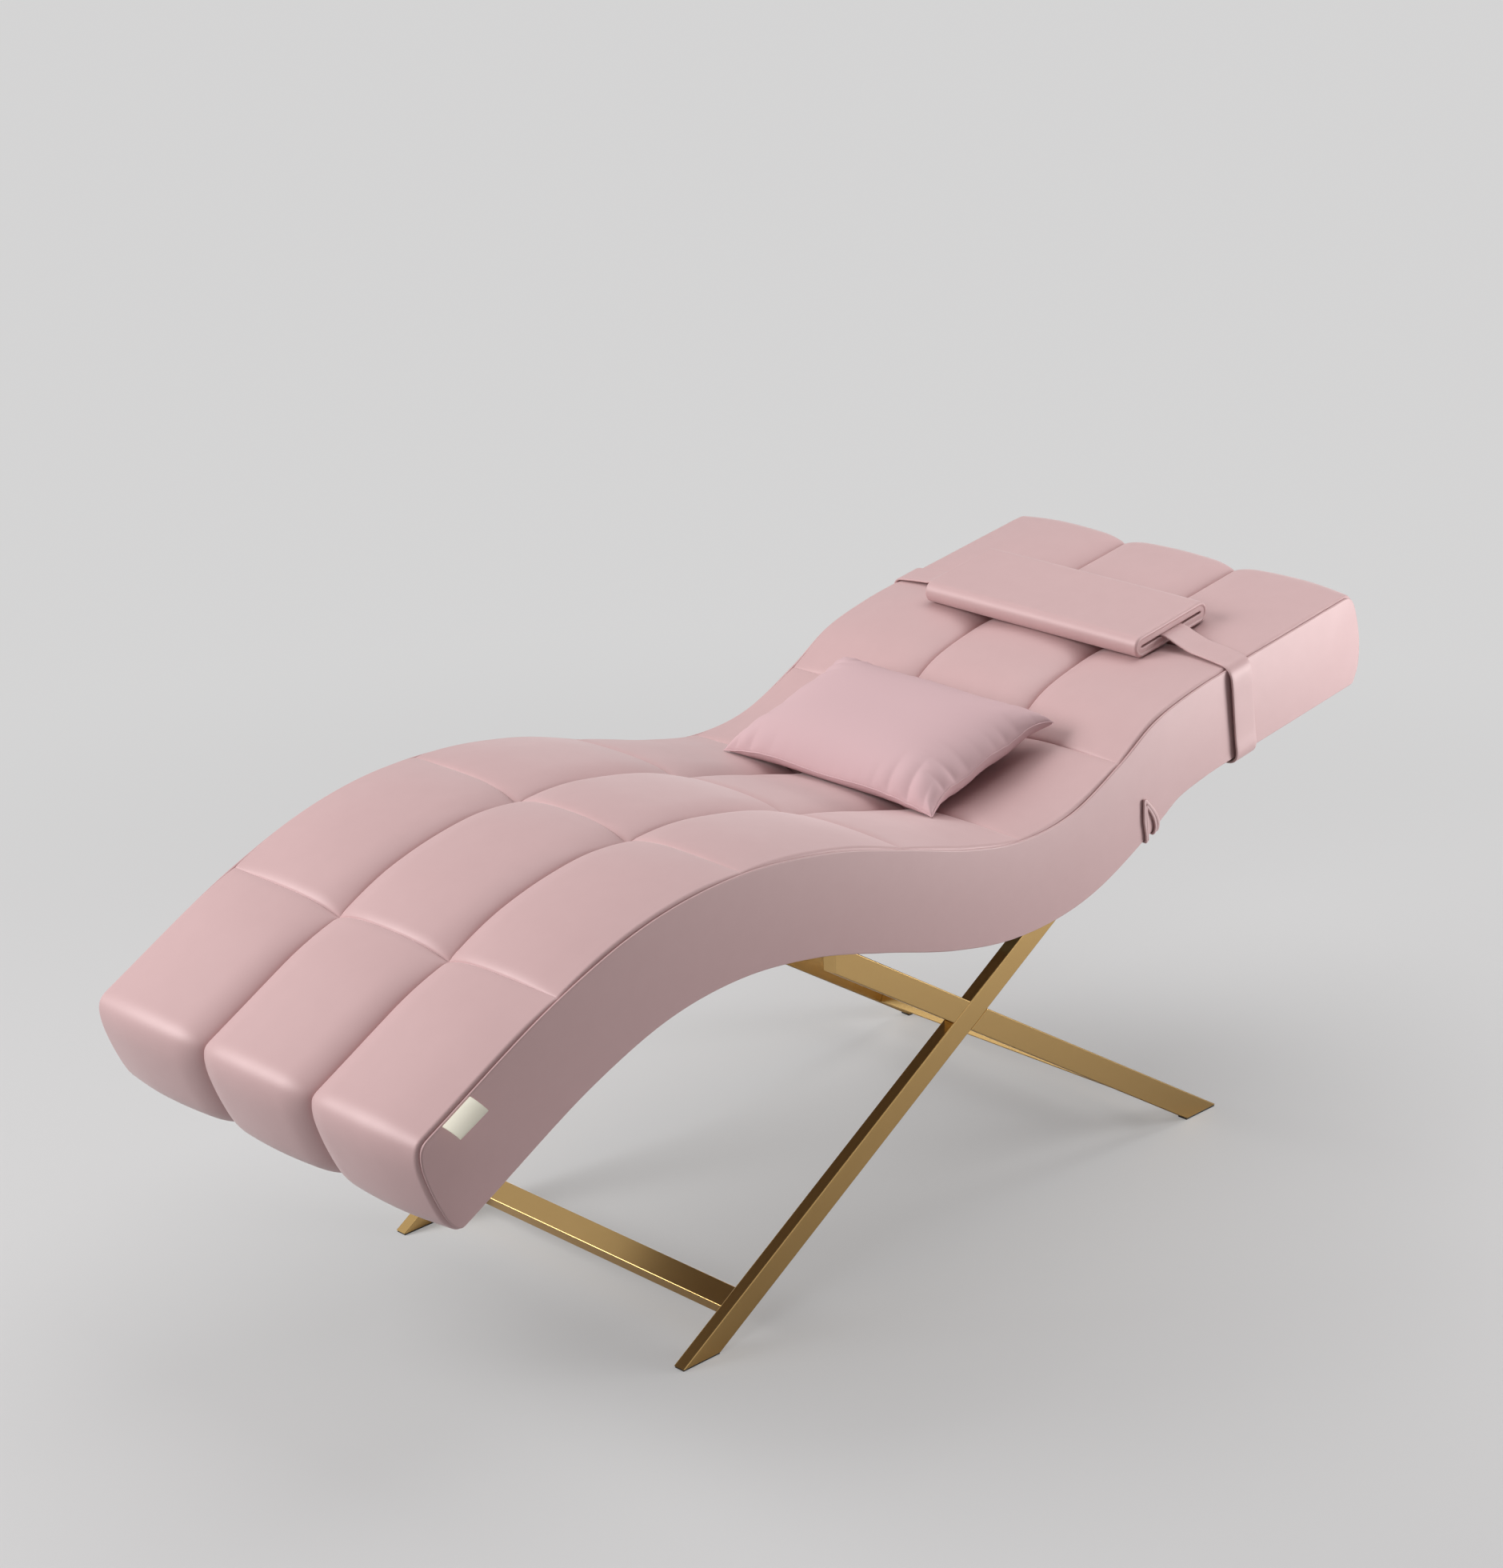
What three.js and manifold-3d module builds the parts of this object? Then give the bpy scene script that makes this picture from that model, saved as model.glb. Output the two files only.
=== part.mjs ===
// Wave-shaped salon bed: a timber and foam body in a quilted cover, on a welded base of crossed tubes,
// with a headrest pad on a strap round the body and a loose pillow.
// The foot end is at -X, the head end at +X, the near side at -Y, and the floor at Z = 0.

import * as THREE from 'three';
import { mergeVertices } from 'three/addons/utils/BufferGeometryUtils.js';
import Module from 'manifold-3d';

const wasm = await Module();
wasm.setup();

// Driving dimensions of the whole bed, in millimetres
const bedLength = 1837;
const headSeamHeight = 763;
const bedWidth = 650;
const bodyDepth = 145;

// Side view of the top seam: shares of bedLength, then shares of headSeamHeight
const seamLineShares = [
  [0, 0.651], [0.124, 0.807], [0.2115, 0.8795], [0.298, 0.9015], [0.386, 0.8795], [0.463, 0.8325],
  [0.537, 0.782], [0.594, 0.7605], [0.6515, 0.7735], [0.7085, 0.834], [0.751, 0.892], [0.7985, 0.9245],
  [0.848, 0.945], [0.924, 0.9725], [1, 1],
];
// Where the cross seams of the quilting stand, as shares of bedLength
const crossSeamShares = [0.124, 0.298, 0.463, 0.594, 0.7085, 0.853];
// How far each end bulges, as shares of the bulge, then shares of bodyDepth from the underside up
const footEndShares = [
  [-0.49, 0.05], [-0.89, 0.144], [-1, 0.25], [-0.96, 0.53], [-0.71, 0.81], [-0.3, 0.953], [0, 1],
];
const headEndShares = [
  [-0.2, 0.05], [0.46, 0.13], [0.81, 0.276], [1, 0.49], [0.77, 0.76], [0.42, 0.92], [0, 1],
];
const footBulge = 21.5;
const headBulge = 18;
const innerBulgeShare = 0.65;

// Fits between pieces
const gap = 0.3;
const overrun = 40;
// Flat faces on each rounded end, edge or bend of a soft piece
const bendSteps = 6;

// Timber and board inside the body
const railThickness = 18;
const railTop = 70;
const deckThickness = 9;
const boardThickness = 18;
const battenWidth = 45;
const battenHeight = 44;
const mountBattenWidth = 118;
const liningThickness = 4.7;
const liningInset = 2;
const liningEndInset = 16;

// Foam, cover and trim
const coverThickness = 18;
const crownHeight = 13;
const grooveDepth = 9;
const edgeRun = 60;
const endFoamDepth = 27;
const panelThickness = 8;
const panelEdgeRadius = 2;
const weltRadius = 3;
const weltSides = 6;
const sharpestMitreShare = 0.5;
const quiltColumns = 3;
const swellPower = 3;
const hemShare = 0.08;
const headGrooveShare = 0.45;

// Crossed base: rectangular tube, legs in two side frames, crossbars near the feet
const tubeDepth = 37;
const tubeWidth = 19.5;
const tubeWall = 2;
const tubeCorner = 1.6;
const frameInset = 30;
const crossDrop = 112.1;
const legTilt = THREE.MathUtils.degToRad(31.75);
const crossPlaceShare = 0.5556;
const shortLegSetback = 23;
const endCapThickness = 1.6;
const crossbarFromFoot = 117.5;
const crossbarDrop = 4.8;
const crossbarTilt = THREE.MathUtils.degToRad(22);
const glideThickness = 3;
const glideInset = 1.5;
const glidePlugHeight = 16;

// Plates and bolts that hold the base to the body
const plateThickness = 5;
const plateInnerWidth = 31;
const plateOuterWidth = 2;
const headPlateLength = 138;
const footPlateLength = 96;
const boltRadius = 4;
const boltLength = 38;
const boltHeadRadius = 7;
const boltHeadHeight = 4.5;
const boltEndDistance = 16;
const boltSideDistance = 16;
const boltHeadTaperShare = 0.7;
const boltSides = 12;

// Headrest pad and its strap
const padLength = 415;
const padWidth = 168;
const padThickness = 33;
const padPlaceShare = 0.8505;
const padTunnelWidth = 142;
const padTunnelHeight = 3.4;
const padSlideUp = 170;
const padSlideDown = 20;
const padShift = 10;
const strapWidth = 50;
const strapThickness = 2.4;
const strapStandoff = 2;
const strapOverlap = 90;
const strapBend = 9;
const strapDropShare = 1.35;
const fastenerThickness = 1.8;
const fastenerInset = 3;

// Loose pillow
const pillowLength = 410;
const pillowWidth = 268;
const pillowThickness = 92;
const pillowPlaceShare = 0.6345;
const pillowTilt = THREE.MathUtils.degToRad(15.5);
const pillowPinchShare = 0.06;
const pillowBluntnessShare = 0.45;
const pillowEdge = 1.2;

// Ribbon tab and side pleats
const labelWidth = 51;
const labelDrop = 38;
const labelThickness = 2.2;
const labelPlaceShare = 0.033;
const pleatPlaceShare = 0.745;
const pleatHeight = 66;
const pleatWidth = 41;
const pleatBand = 6.5;
const pleatThickness = 3.2;
const pleatUnderhang = 5;
const pleatShoulderShare = 0.6;
const pleatInnerShoulderShare = 0.55;
const pleatInnerThicknessShare = 0.8;

// Finishes
const leather = new THREE.MeshStandardMaterial({ color: 0xd3b5b8, roughness: 0.55, metalness: 0 });
const satin = new THREE.MeshStandardMaterial({ color: 0xcfaeb1, roughness: 0.4, metalness: 0 });
const brass = new THREE.MeshStandardMaterial({ color: 0xb0935a, roughness: 0.35, metalness: 1 });
const steel = new THREE.MeshStandardMaterial({ color: 0x8f8f8c, roughness: 0.4, metalness: 1 });
const plywood = new THREE.MeshStandardMaterial({ color: 0xc9a873, roughness: 0.8, metalness: 0 });
const foam = new THREE.MeshStandardMaterial({ color: 0xe9e2c8, roughness: 0.95, metalness: 0 });
const nylon = new THREE.MeshStandardMaterial({ color: 0x2b2927, roughness: 0.6, metalness: 0 });
const ribbon = new THREE.MeshStandardMaterial({ color: 0xe9dfcc, roughness: 0.8, metalness: 0 });

const bed = new THREE.Group();

function addPiece(name, geometry, material, parent = bed) {
  const mesh = new THREE.Mesh(geometry, material);
  mesh.name = name;
  parent.add(mesh);
  return mesh;
}

// Solids from closed geometries, for cuts and joins
function solidOf(geometry) {
  const bare = geometry.index ? geometry.toNonIndexed() : geometry.clone();
  bare.deleteAttribute('normal');
  bare.deleteAttribute('uv');
  const merged = mergeVertices(bare);
  const mesh = new wasm.Mesh({
    numProp: 3,
    vertProperties: new Float32Array(merged.attributes.position.array),
    triVerts: new Uint32Array(merged.index.array),
  });
  return new wasm.Manifold(mesh);
}

function geometryOf(solid) {
  const mesh = solid.getMesh();
  const geometry = new THREE.BufferGeometry();
  geometry.setAttribute('position', new THREE.BufferAttribute(new Float32Array(mesh.vertProperties), 3));
  geometry.setIndex(new THREE.BufferAttribute(new Uint32Array(mesh.triVerts), 1));
  geometry.computeVertexNormals();
  return geometry;
}

function cut(geometry, ...tools) {
  return geometryOf(tools.reduce((solid, tool) => solid.subtract(solidOf(tool)), solidOf(geometry)));
}

function join(geometry, ...others) {
  return geometryOf(others.reduce((solid, other) => solid.add(solidOf(other)), solidOf(geometry)));
}

function keepInside(geometry, limit) {
  return geometryOf(solidOf(geometry).intersect(solidOf(limit)));
}

// A box given by its lowest and highest corners
function boxBetween(low, high) {
  const size = new THREE.Vector3().subVectors(high, low);
  const box = new THREE.BoxGeometry(size.x, size.y, size.z);
  const centre = new THREE.Vector3().addVectors(low, high).multiplyScalar(0.5);
  return box.translate(centre.x, centre.y, centre.z);
}

// The top seam line, with x along the floor from the foot seam and y as height above the floor
const seamLine = new THREE.CatmullRomCurve3(
  seamLineShares.map(([along, up]) => new THREE.Vector3(
    along * bedLength, glideThickness + up * headSeamHeight, 0)),
  false, 'centripetal');
seamLine.arcLengthDivisions = 1200;
const seamLength = seamLine.getLength();

// A point of the smooth side view: distance along the seam line from the foot, height above the underside
function smoothPoint(along, up) {
  const share = THREE.MathUtils.clamp(along / seamLength, 0, 1);
  const onSeam = seamLine.getPointAt(share);
  const tangent = seamLine.getTangentAt(share);
  const past = along - share * seamLength;
  const rise = up - bodyDepth;
  return new THREE.Vector2(
    onSeam.x + tangent.x * past - tangent.y * rise,
    onSeam.y + tangent.y * past + tangent.x * rise);
}

// Distance along the seam line at which the line itself has this x
function seamAlong(x) {
  let low = 0;
  let high = seamLength;
  for (let step = 0; step < 40; step += 1) {
    const middle = (low + high) / 2;
    if (smoothPoint(middle, bodyDepth).x < x) low = middle;
    else high = middle;
  }
  return (low + high) / 2;
}

// All layers of the body share these stations, so that their facets lie face to face
const rowEnds = [0, ...crossSeamShares.map((share) => seamAlong(share * bedLength)), seamLength];
const rowShares = [0.08, 0.2, 0.35, 0.5, 0.65, 0.8, 0.92, 1];
const stationsAlong = [0];
for (let row = 0; row < rowEnds.length - 1; row += 1) {
  const [low, high] = rowEnds.slice(row, row + 2);
  for (const share of rowShares) stationsAlong.push(THREE.MathUtils.lerp(low, high, share));
}

// The same point on the facets between the stations
function bodyPoint(along, up) {
  if (along <= 0 || along >= seamLength) return smoothPoint(along, up);
  const next = stationsAlong.findIndex((station) => station >= along);
  const before = stationsAlong[next - 1];
  const share = (along - before) / (stationsAlong[next] - before);
  return smoothPoint(before, up).lerp(smoothPoint(stationsAlong[next], up), share);
}

function bodyAngle(along) {
  const tangent = seamLine.getTangentAt(THREE.MathUtils.clamp(along / seamLength, 0, 1));
  return Math.atan2(tangent.y, tangent.x);
}

// Distance along the seam line at which a point of the given height above the underside has this x
function alongAt(x, up = bodyDepth) {
  let low = 0;
  let high = seamLength;
  for (let step = 0; step < 40; step += 1) {
    const middle = (low + high) / 2;
    if (bodyPoint(middle, up).x < x) low = middle;
    else high = middle;
  }
  return (low + high) / 2;
}

// Extrudes a side-view outline across the bed from one y to another
function acrossBed(points, yLow, yHigh, bevel = 0) {
  const options = { depth: yHigh - yLow - 2 * bevel, bevelEnabled: bevel > 0 };
  if (bevel > 0) {
    options.bevelThickness = bevel;
    options.bevelSize = bevel;
    options.bevelOffset = -bevel;
    options.bevelSegments = 1;
  }
  const geometry = new THREE.ExtrudeGeometry(new THREE.Shape(points), options);
  return geometry.rotateX(Math.PI / 2).translate(0, yHigh - bevel, 0);
}

// Stations from one distance along to another, with both ends
function stationsBetween(low, high) {
  return [low, ...stationsAlong.filter((along) => along > low + gap && along < high - gap), high];
}

// A curved layer of the body between two distances along and two heights above the underside
function layerOutline(alongLow, alongHigh, upLow, upHigh) {
  const stations = stationsBetween(alongLow, alongHigh);
  const lower = stations.map((along) => bodyPoint(along, upLow));
  const upper = stations.map((along) => bodyPoint(along, upHigh)).reverse();
  return [...lower, ...upper];
}

const nearSide = -bedWidth / 2;
const farSide = bedWidth / 2;

// End curves of the side view, from the underside up, in distance along and height
function endCurve(shares, bulge, start, low, inset) {
  const room = (bodyDepth - inset - low) / (1 - shares[0][1]);
  return new THREE.SplineCurve(shares.map(([out, up]) => new THREE.Vector2(
    start + out * bulge, low + (up - shares[0][1]) * room)));
}

function footCurve(low, inset) {
  return endCurve(footEndShares, footBulge, inset, low, inset);
}

function headCurve(low, inset) {
  return endCurve(headEndShares, headBulge, seamLength - inset, low, inset);
}

// Timber frame
const bottomUp = liningThickness + gap;
const innerUp = bodyDepth - coverThickness;
const footEnd = footCurve(bottomUp, 0).getPoints(bendSteps);
const headEnd = headCurve(bottomUp, 0).getPoints(bendSteps);

// Inside of the cover at an end: the same curve with a flatter bulge, one cover thickness in
function innerEnd(points, inward) {
  const start = inward > 0 ? 0 : seamLength;
  const bulge = inward > 0 ? footBulge : headBulge;
  return points.map((point) => new THREE.Vector2(
    start + inward * (coverThickness - bulge * (1 - innerBulgeShare)) + innerBulgeShare * (point.x - start),
    bottomUp + (point.y - bottomUp) * (innerUp - bottomUp) / (bodyDepth - bottomUp)));
}

const frameFoot = endFoamDepth + gap;
const frameHead = seamLength - endFoamDepth - gap;
const coverHalf = bedWidth / 2 - panelThickness - gap;
const railOuter = coverHalf;
const railInner = railOuter - railThickness;

function mirroredBand(sign, inner, outer) {
  return sign < 0 ? [-outer, -inner] : [inner, outer];
}

const sides = [['near', -1], ['far', 1]];

for (const [side, sign] of sides) {
  const outline = layerOutline(frameFoot, frameHead, bottomUp, railTop);
  const [low, high] = mirroredBand(sign, railInner, railOuter);
  addPiece(`side_rail_${side}`, acrossBed(outline, low, high), plywood);
}

const battenHalf = railInner - gap;
const endBoards = [['foot', frameFoot], ['head', frameHead - boardThickness]];
for (const [end, start] of endBoards) {
  const outline = layerOutline(start, start + boardThickness, bottomUp, railTop);
  addPiece(`end_board_${end}`, acrossBed(outline, -battenHalf, battenHalf), plywood);
}

const deckLow = railTop + gap;
const deckOutline = layerOutline(frameFoot, frameHead, deckLow, deckLow + deckThickness);
addPiece('deck_board', acrossBed(deckOutline, -railOuter, railOuter), plywood);

// Base geometry in the side view: the long leg rises towards the head, the short one towards the foot
const crossX = crossPlaceShare * bedLength;
const crossing = new THREE.Vector2(crossX, bodyPoint(alongAt(crossX, 0), 0).y - crossDrop);
const crossHeight = crossing.y - glideThickness;
const footLength = tubeDepth / Math.sin(legTilt);
const footReach = crossHeight / Math.tan(legTilt) + footLength / 2;
const towardsHead = new THREE.Vector2(Math.cos(legTilt), Math.sin(legTilt));
const towardsFoot = new THREE.Vector2(-Math.cos(legTilt), Math.sin(legTilt));
const frameMiddle = bedWidth / 2 - frameInset - tubeWidth / 2;
const plateTop = -gap;
const plateLow = plateTop - plateThickness;

// Distance along the seam line where a leg's middle line, going up from the crossing, meets the plate
function meetPlate(direction) {
  let reach = 0;
  const step = tubeWall;
  for (let count = 0; count < bedLength / step; count += 1) {
    reach += step;
    const point = crossing.clone().addScaledVector(direction, reach);
    const along = alongAt(point.x, plateLow);
    if (bodyPoint(along, plateLow).y <= point.y) return { along, reach, point };
  }
  throw new Error('the leg never reaches the body');
}

const headMeet = meetPlate(towardsHead);
const footMeet = meetPlate(towardsFoot);

// Rectangular tube section, across the bed by in the plane of the side frame
function tubeSection(width, depth, wall) {
  const outline = roundedRectangle(new THREE.Shape(), width, depth, tubeCorner);
  if (wall > 0) {
    const inner = roundedRectangle(new THREE.Path(), width - 2 * wall, depth - 2 * wall, 0);
    outline.holes.push(inner);
  }
  return outline;
}

function roundedRectangle(path, width, depth, radius) {
  const x = width / 2;
  const y = depth / 2;
  path.moveTo(-x + radius, -y);
  path.lineTo(x - radius, -y);
  if (radius > 0) path.absarc(x - radius, -y + radius, radius, -Math.PI / 2, 0);
  path.lineTo(x, y - radius);
  if (radius > 0) path.absarc(x - radius, y - radius, radius, 0, Math.PI / 2);
  path.lineTo(-x + radius, y);
  if (radius > 0) path.absarc(-x + radius, y - radius, radius, Math.PI / 2, Math.PI);
  path.lineTo(-x, -y + radius);
  if (radius > 0) path.absarc(-x + radius, -y + radius, radius, Math.PI, Math.PI * 1.5);
  return path;
}

// A straight bar in a side frame's plane, from a side-view point along a direction
function barAlong(section, start, direction, length, y) {
  const options = { depth: length, bevelEnabled: false, curveSegments: 2 };
  const geometry = new THREE.ExtrudeGeometry(section, options);
  const basis = new THREE.Matrix4().makeBasis(
    new THREE.Vector3(0, 1, 0),
    new THREE.Vector3(-direction.y, 0, direction.x),
    new THREE.Vector3(direction.x, 0, direction.y));
  basis.setPosition(start.x, y, start.y);
  return geometry.applyMatrix4(basis);
}

const legSection = tubeSection(tubeWidth, tubeDepth, tubeWall);
const solidSection = tubeSection(tubeWidth, tubeDepth, 0);
const slotSection = tubeSection(tubeWidth + 2 * overrun, tubeDepth + 2 * gap, 0);
const plugSection = tubeSection(tubeWidth - 2 * tubeWall - 2 * gap, tubeDepth - 2 * tubeWall - 2 * gap, 0);

const bodySpace = acrossBed(
  layerOutline(0, seamLength, plateLow - gap, bodyDepth), nearSide - overrun, farSide + overrun);
const groundSpace = boxBetween(
  new THREE.Vector3(-bedLength, nearSide - overrun, -headSeamHeight),
  new THREE.Vector3(2 * bedLength, farSide + overrun, glideThickness));
const shortLegEnd = footMeet.point.x + shortLegSetback;
const legTail = crossHeight / Math.sin(legTilt) + 2 * tubeDepth;

for (const [side, sign] of sides) {
  const y = sign * frameMiddle;
  const longStart = crossing.clone().addScaledVector(towardsHead, -legTail);
  const longLength = legTail + headMeet.reach + 3 * tubeDepth;
  const longLeg = barAlong(legSection, longStart, towardsHead, longLength, y);
  addPiece(`leg_long_${side}`, cut(longLeg, bodySpace, groundSpace), brass);

  const crossSlot = barAlong(slotSection, longStart, towardsHead, longLength, y);
  const pastCut = boxBetween(
    new THREE.Vector3(shortLegEnd - bedLength, nearSide - overrun, 0),
    new THREE.Vector3(shortLegEnd, farSide + overrun, 2 * headSeamHeight));
  const upper = barAlong(legSection, crossing, towardsFoot, footMeet.reach + tubeDepth, y);
  addPiece(`leg_upper_${side}`, cut(upper, crossSlot, bodySpace, pastCut), brass);

  const capSlab = boxBetween(
    new THREE.Vector3(shortLegEnd - gap - endCapThickness, nearSide - overrun, 0),
    new THREE.Vector3(shortLegEnd - gap, farSide + overrun, 2 * headSeamHeight));
  const capBar = barAlong(solidSection, crossing, towardsFoot, footMeet.reach + 3 * tubeDepth, y);
  addPiece(`leg_end_cap_${side}`, cut(keepInside(capBar, capSlab), bodySpace), brass);

  const lowerStart = crossing.clone().addScaledVector(towardsFoot, -legTail);
  const lower = barAlong(legSection, lowerStart, towardsFoot, legTail, y);
  addPiece(`leg_lower_${side}`, cut(lower, crossSlot, groundSpace), brass);
}

// Foot glides: a pad under each foot with a plug up into the tube
const feet = [
  ['front', crossing.x - footReach, towardsHead],
  ['rear', crossing.x + footReach - footLength, towardsFoot],
];
for (const [end, start, direction] of feet) {
  for (const [side, sign] of sides) {
    const y = sign * frameMiddle;
    const padHalf = tubeWidth / 2 - glideInset;
    const pad = boxBetween(
      new THREE.Vector3(start + glideInset, y - padHalf, 0),
      new THREE.Vector3(start + footLength - glideInset, y + padHalf, glideThickness - gap));
    const plugStart = crossing.clone().addScaledVector(direction, -legTail);
    const plugBar = barAlong(plugSection, plugStart, direction, legTail, y);
    const plugSpace = boxBetween(
      new THREE.Vector3(start - bedLength, nearSide - overrun, glideThickness / 2),
      new THREE.Vector3(start + bedLength, farSide + overrun, glideThickness + glidePlugHeight));
    addPiece(`foot_glide_${end}_${side}`, join(pad, keepInside(plugBar, plugSpace)), nylon);
  }
}

// Crossbars between the two side frames
const crossbarHalf = frameMiddle - tubeWidth / 2 - gap;
for (const [end, sign] of [['front', -1], ['rear', 1]]) {
  const x = crossing.x + sign * (footReach - crossbarFromFoot);
  const height = crossing.y - Math.tan(legTilt) * (footReach - crossbarFromFoot) - crossbarDrop;
  const options = { depth: 2 * crossbarHalf, bevelEnabled: false, curveSegments: 2 };
  const bar = new THREE.ExtrudeGeometry(tubeSection(tubeDepth, tubeWidth, tubeWall), options);
  bar.rotateX(Math.PI / 2).translate(0, crossbarHalf, 0);
  const mesh = addPiece(`crossbar_${end}`, bar, brass);
  mesh.position.set(x, 0, height);
  mesh.rotation.y = sign * crossbarTilt;
}

// Mounting battens, plates and bolts where the legs meet the body
const boltUnder = plateLow - boltHeadHeight - gap;
const mounts = [
  { end: 'head', along: headMeet.along, length: headPlateLength },
  { end: 'foot', along: footMeet.along + shortLegSetback / 2, length: footPlateLength },
];
const plateInner = frameMiddle - tubeWidth / 2 - plateInnerWidth;
const plateOuter = frameMiddle + tubeWidth / 2 + plateOuterWidth;
const boltY = plateInner + boltSideDistance;

// A round tool or bolt shape standing on the underside at one place, by radii and heights from plateLow up
function onUnderside(profile, along, y) {
  const lathe = new THREE.LatheGeometry(profile, boltSides);
  const foot = bodyPoint(along, plateLow);
  lathe.rotateX(Math.PI / 2);
  lathe.rotateY(-bodyAngle(along));
  return lathe.translate(foot.x, y, foot.y);
}

function rodProfile(radius, low, high) {
  return [
    new THREE.Vector2(0, low), new THREE.Vector2(radius, low),
    new THREE.Vector2(radius, high), new THREE.Vector2(0, high)];
}

const boltPlaces = [];
for (const mount of mounts) {
  for (const [side, sign] of sides) {
    for (const end of [-1, 1]) {
      boltPlaces.push({
        mount: mount.end,
        side,
        along: mount.along + end * (mount.length / 2 - boltEndDistance),
        y: sign * boltY,
      });
    }
  }
}

// Battens spaced evenly in the bays between the end boards and the mounting battens
const mountEdges = mounts.map(({ along }) => [along - mountBattenWidth / 2, along + mountBattenWidth / 2]);
const bays = [
  { low: frameFoot + boardThickness, high: mountEdges[1][0], count: 2 },
  { low: mountEdges[1][1], high: mountEdges[0][0], count: 1 },
  { low: mountEdges[0][1], high: frameHead - boardThickness, count: 1 },
];
let battenNumber = 0;
for (const { low, high, count } of bays) {
  for (let place = 1; place <= count; place += 1) {
    const middle = THREE.MathUtils.lerp(low, high, place / (count + 1));
    const outline = layerOutline(
      middle - battenWidth / 2, middle + battenWidth / 2, railTop - battenHeight, railTop);
    battenNumber += 1;
    addPiece(`batten_${battenNumber}`, acrossBed(outline, -battenHalf, battenHalf), plywood);
  }
}

const holeTools = boltPlaces.map(({ along, y }) => onUnderside(
  rodProfile(boltRadius + gap, -plateThickness, boltLength + gap), along, y));

for (const mount of mounts) {
  const half = mountBattenWidth / 2;
  const battenOutline = layerOutline(mount.along - half, mount.along + half, bottomUp, railTop);
  const batten = acrossBed(battenOutline, -battenHalf, battenHalf);
  addPiece(`mount_batten_${mount.end}`, cut(batten, ...holeTools), plywood);
  const plateOutline = layerOutline(
    mount.along - mount.length / 2, mount.along + mount.length / 2, plateLow, plateTop);
  for (const [side, sign] of sides) {
    const [low, high] = mirroredBand(sign, plateInner, plateOuter);
    const plate = cut(acrossBed(plateOutline, low, high), ...holeTools);
    addPiece(`mount_plate_${mount.end}_${side}`, plate, steel);
  }
}

const boltProfile = [
  new THREE.Vector2(0, -boltHeadHeight - gap),
  new THREE.Vector2(boltHeadRadius * boltHeadTaperShare, -boltHeadHeight - gap),
  new THREE.Vector2(boltHeadRadius, -boltHeadHeight / 2 - gap),
  new THREE.Vector2(boltHeadRadius, -gap),
  new THREE.Vector2(boltRadius, -gap),
  new THREE.Vector2(boltRadius, boltLength),
  new THREE.Vector2(0, boltLength),
];
boltPlaces.forEach(({ along, y }, index) => {
  addPiece(`mount_bolt_${index + 1}`, onUnderside(boltProfile, along, y), steel);
});

// Lining board under the body
const liningOutline = layerOutline(liningEndInset, seamLength - liningEndInset, 0, liningThickness);
const lining = acrossBed(liningOutline, nearSide + liningInset, farSide - liningInset);
addPiece('underside_lining', cut(lining, ...holeTools), leather);

// Foam: the thick core under the cover and a block behind each bulging end
const foamLow = deckLow + deckThickness + gap;
const foamHigh = bodyDepth - coverThickness - gap;
const foamFoot = coverThickness - footBulge * (1 - innerBulgeShare) + gap;
const foamHead = seamLength - coverThickness + headBulge * (1 - innerBulgeShare) - gap;
const foamOutline = layerOutline(foamFoot, foamHead, foamLow, foamHigh);
addPiece('foam_core', acrossBed(foamOutline, -coverHalf, coverHalf), foam);

// Outline of the foam behind an end of the cover, up to the deck's level and back to the frame
function endFoam(inside, inward, back) {
  const top = foamLow - gap;
  const first = inside.findIndex((point) => point.y > top);
  const share = (top - inside[first - 1].y) / (inside[first].y - inside[first - 1].y);
  const front = [...inside.slice(0, first), inside[first - 1].clone().lerp(inside[first], share)];
  const shifted = front.map((point) => bodyPoint(point.x + inward * 2 * gap, point.y));
  return [...shifted, bodyPoint(back, top), bodyPoint(back, bottomUp)];
}

const footFoam = endFoam(innerEnd(footEnd, 1), 1, endFoamDepth);
const endFoamHalf = coverHalf - gap;
addPiece('end_foam_foot', acrossBed(footFoam.reverse(), -endFoamHalf, endFoamHalf), foam);
const headFoam = endFoam(innerEnd(headEnd, -1), -1, seamLength - endFoamDepth);
addPiece('end_foam_head', acrossBed(headFoam, -endFoamHalf, endFoamHalf), foam);

// Side panels with the welt round their top and ends
const panelInset = 2 * weltRadius + gap;

// Foot end, top and head end of the side view, set in from the cover's outline
function trimLine(inset) {
  const foot = footCurve(bottomUp, inset).getPoints(bendSteps);
  const head = headCurve(bottomUp, inset).getPoints(bendSteps).reverse();
  const top = stationsBetween(inset, seamLength - inset).slice(1, -1);
  return [...foot, ...top.map((along) => new THREE.Vector2(along, bodyDepth - inset)), ...head];
}

// A line moved square to itself, to its left, with its corners mitred
function offsetLine(points, distance) {
  return points.map((point, i) => {
    const before = points[Math.max(i - 1, 0)];
    const after = points[Math.min(i + 1, points.length - 1)];
    const arriving = i > 0 ? point.clone().sub(before).normalize() : after.clone().sub(point).normalize();
    const leaving = i < points.length - 1 ? after.clone().sub(point).normalize() : arriving.clone();
    const bisector = arriving.clone().add(leaving).normalize();
    const reach = distance / Math.max(bisector.dot(leaving), sharpestMitreShare);
    return new THREE.Vector2(point.x - bisector.y * reach, point.y + bisector.x * reach);
  });
}

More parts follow.
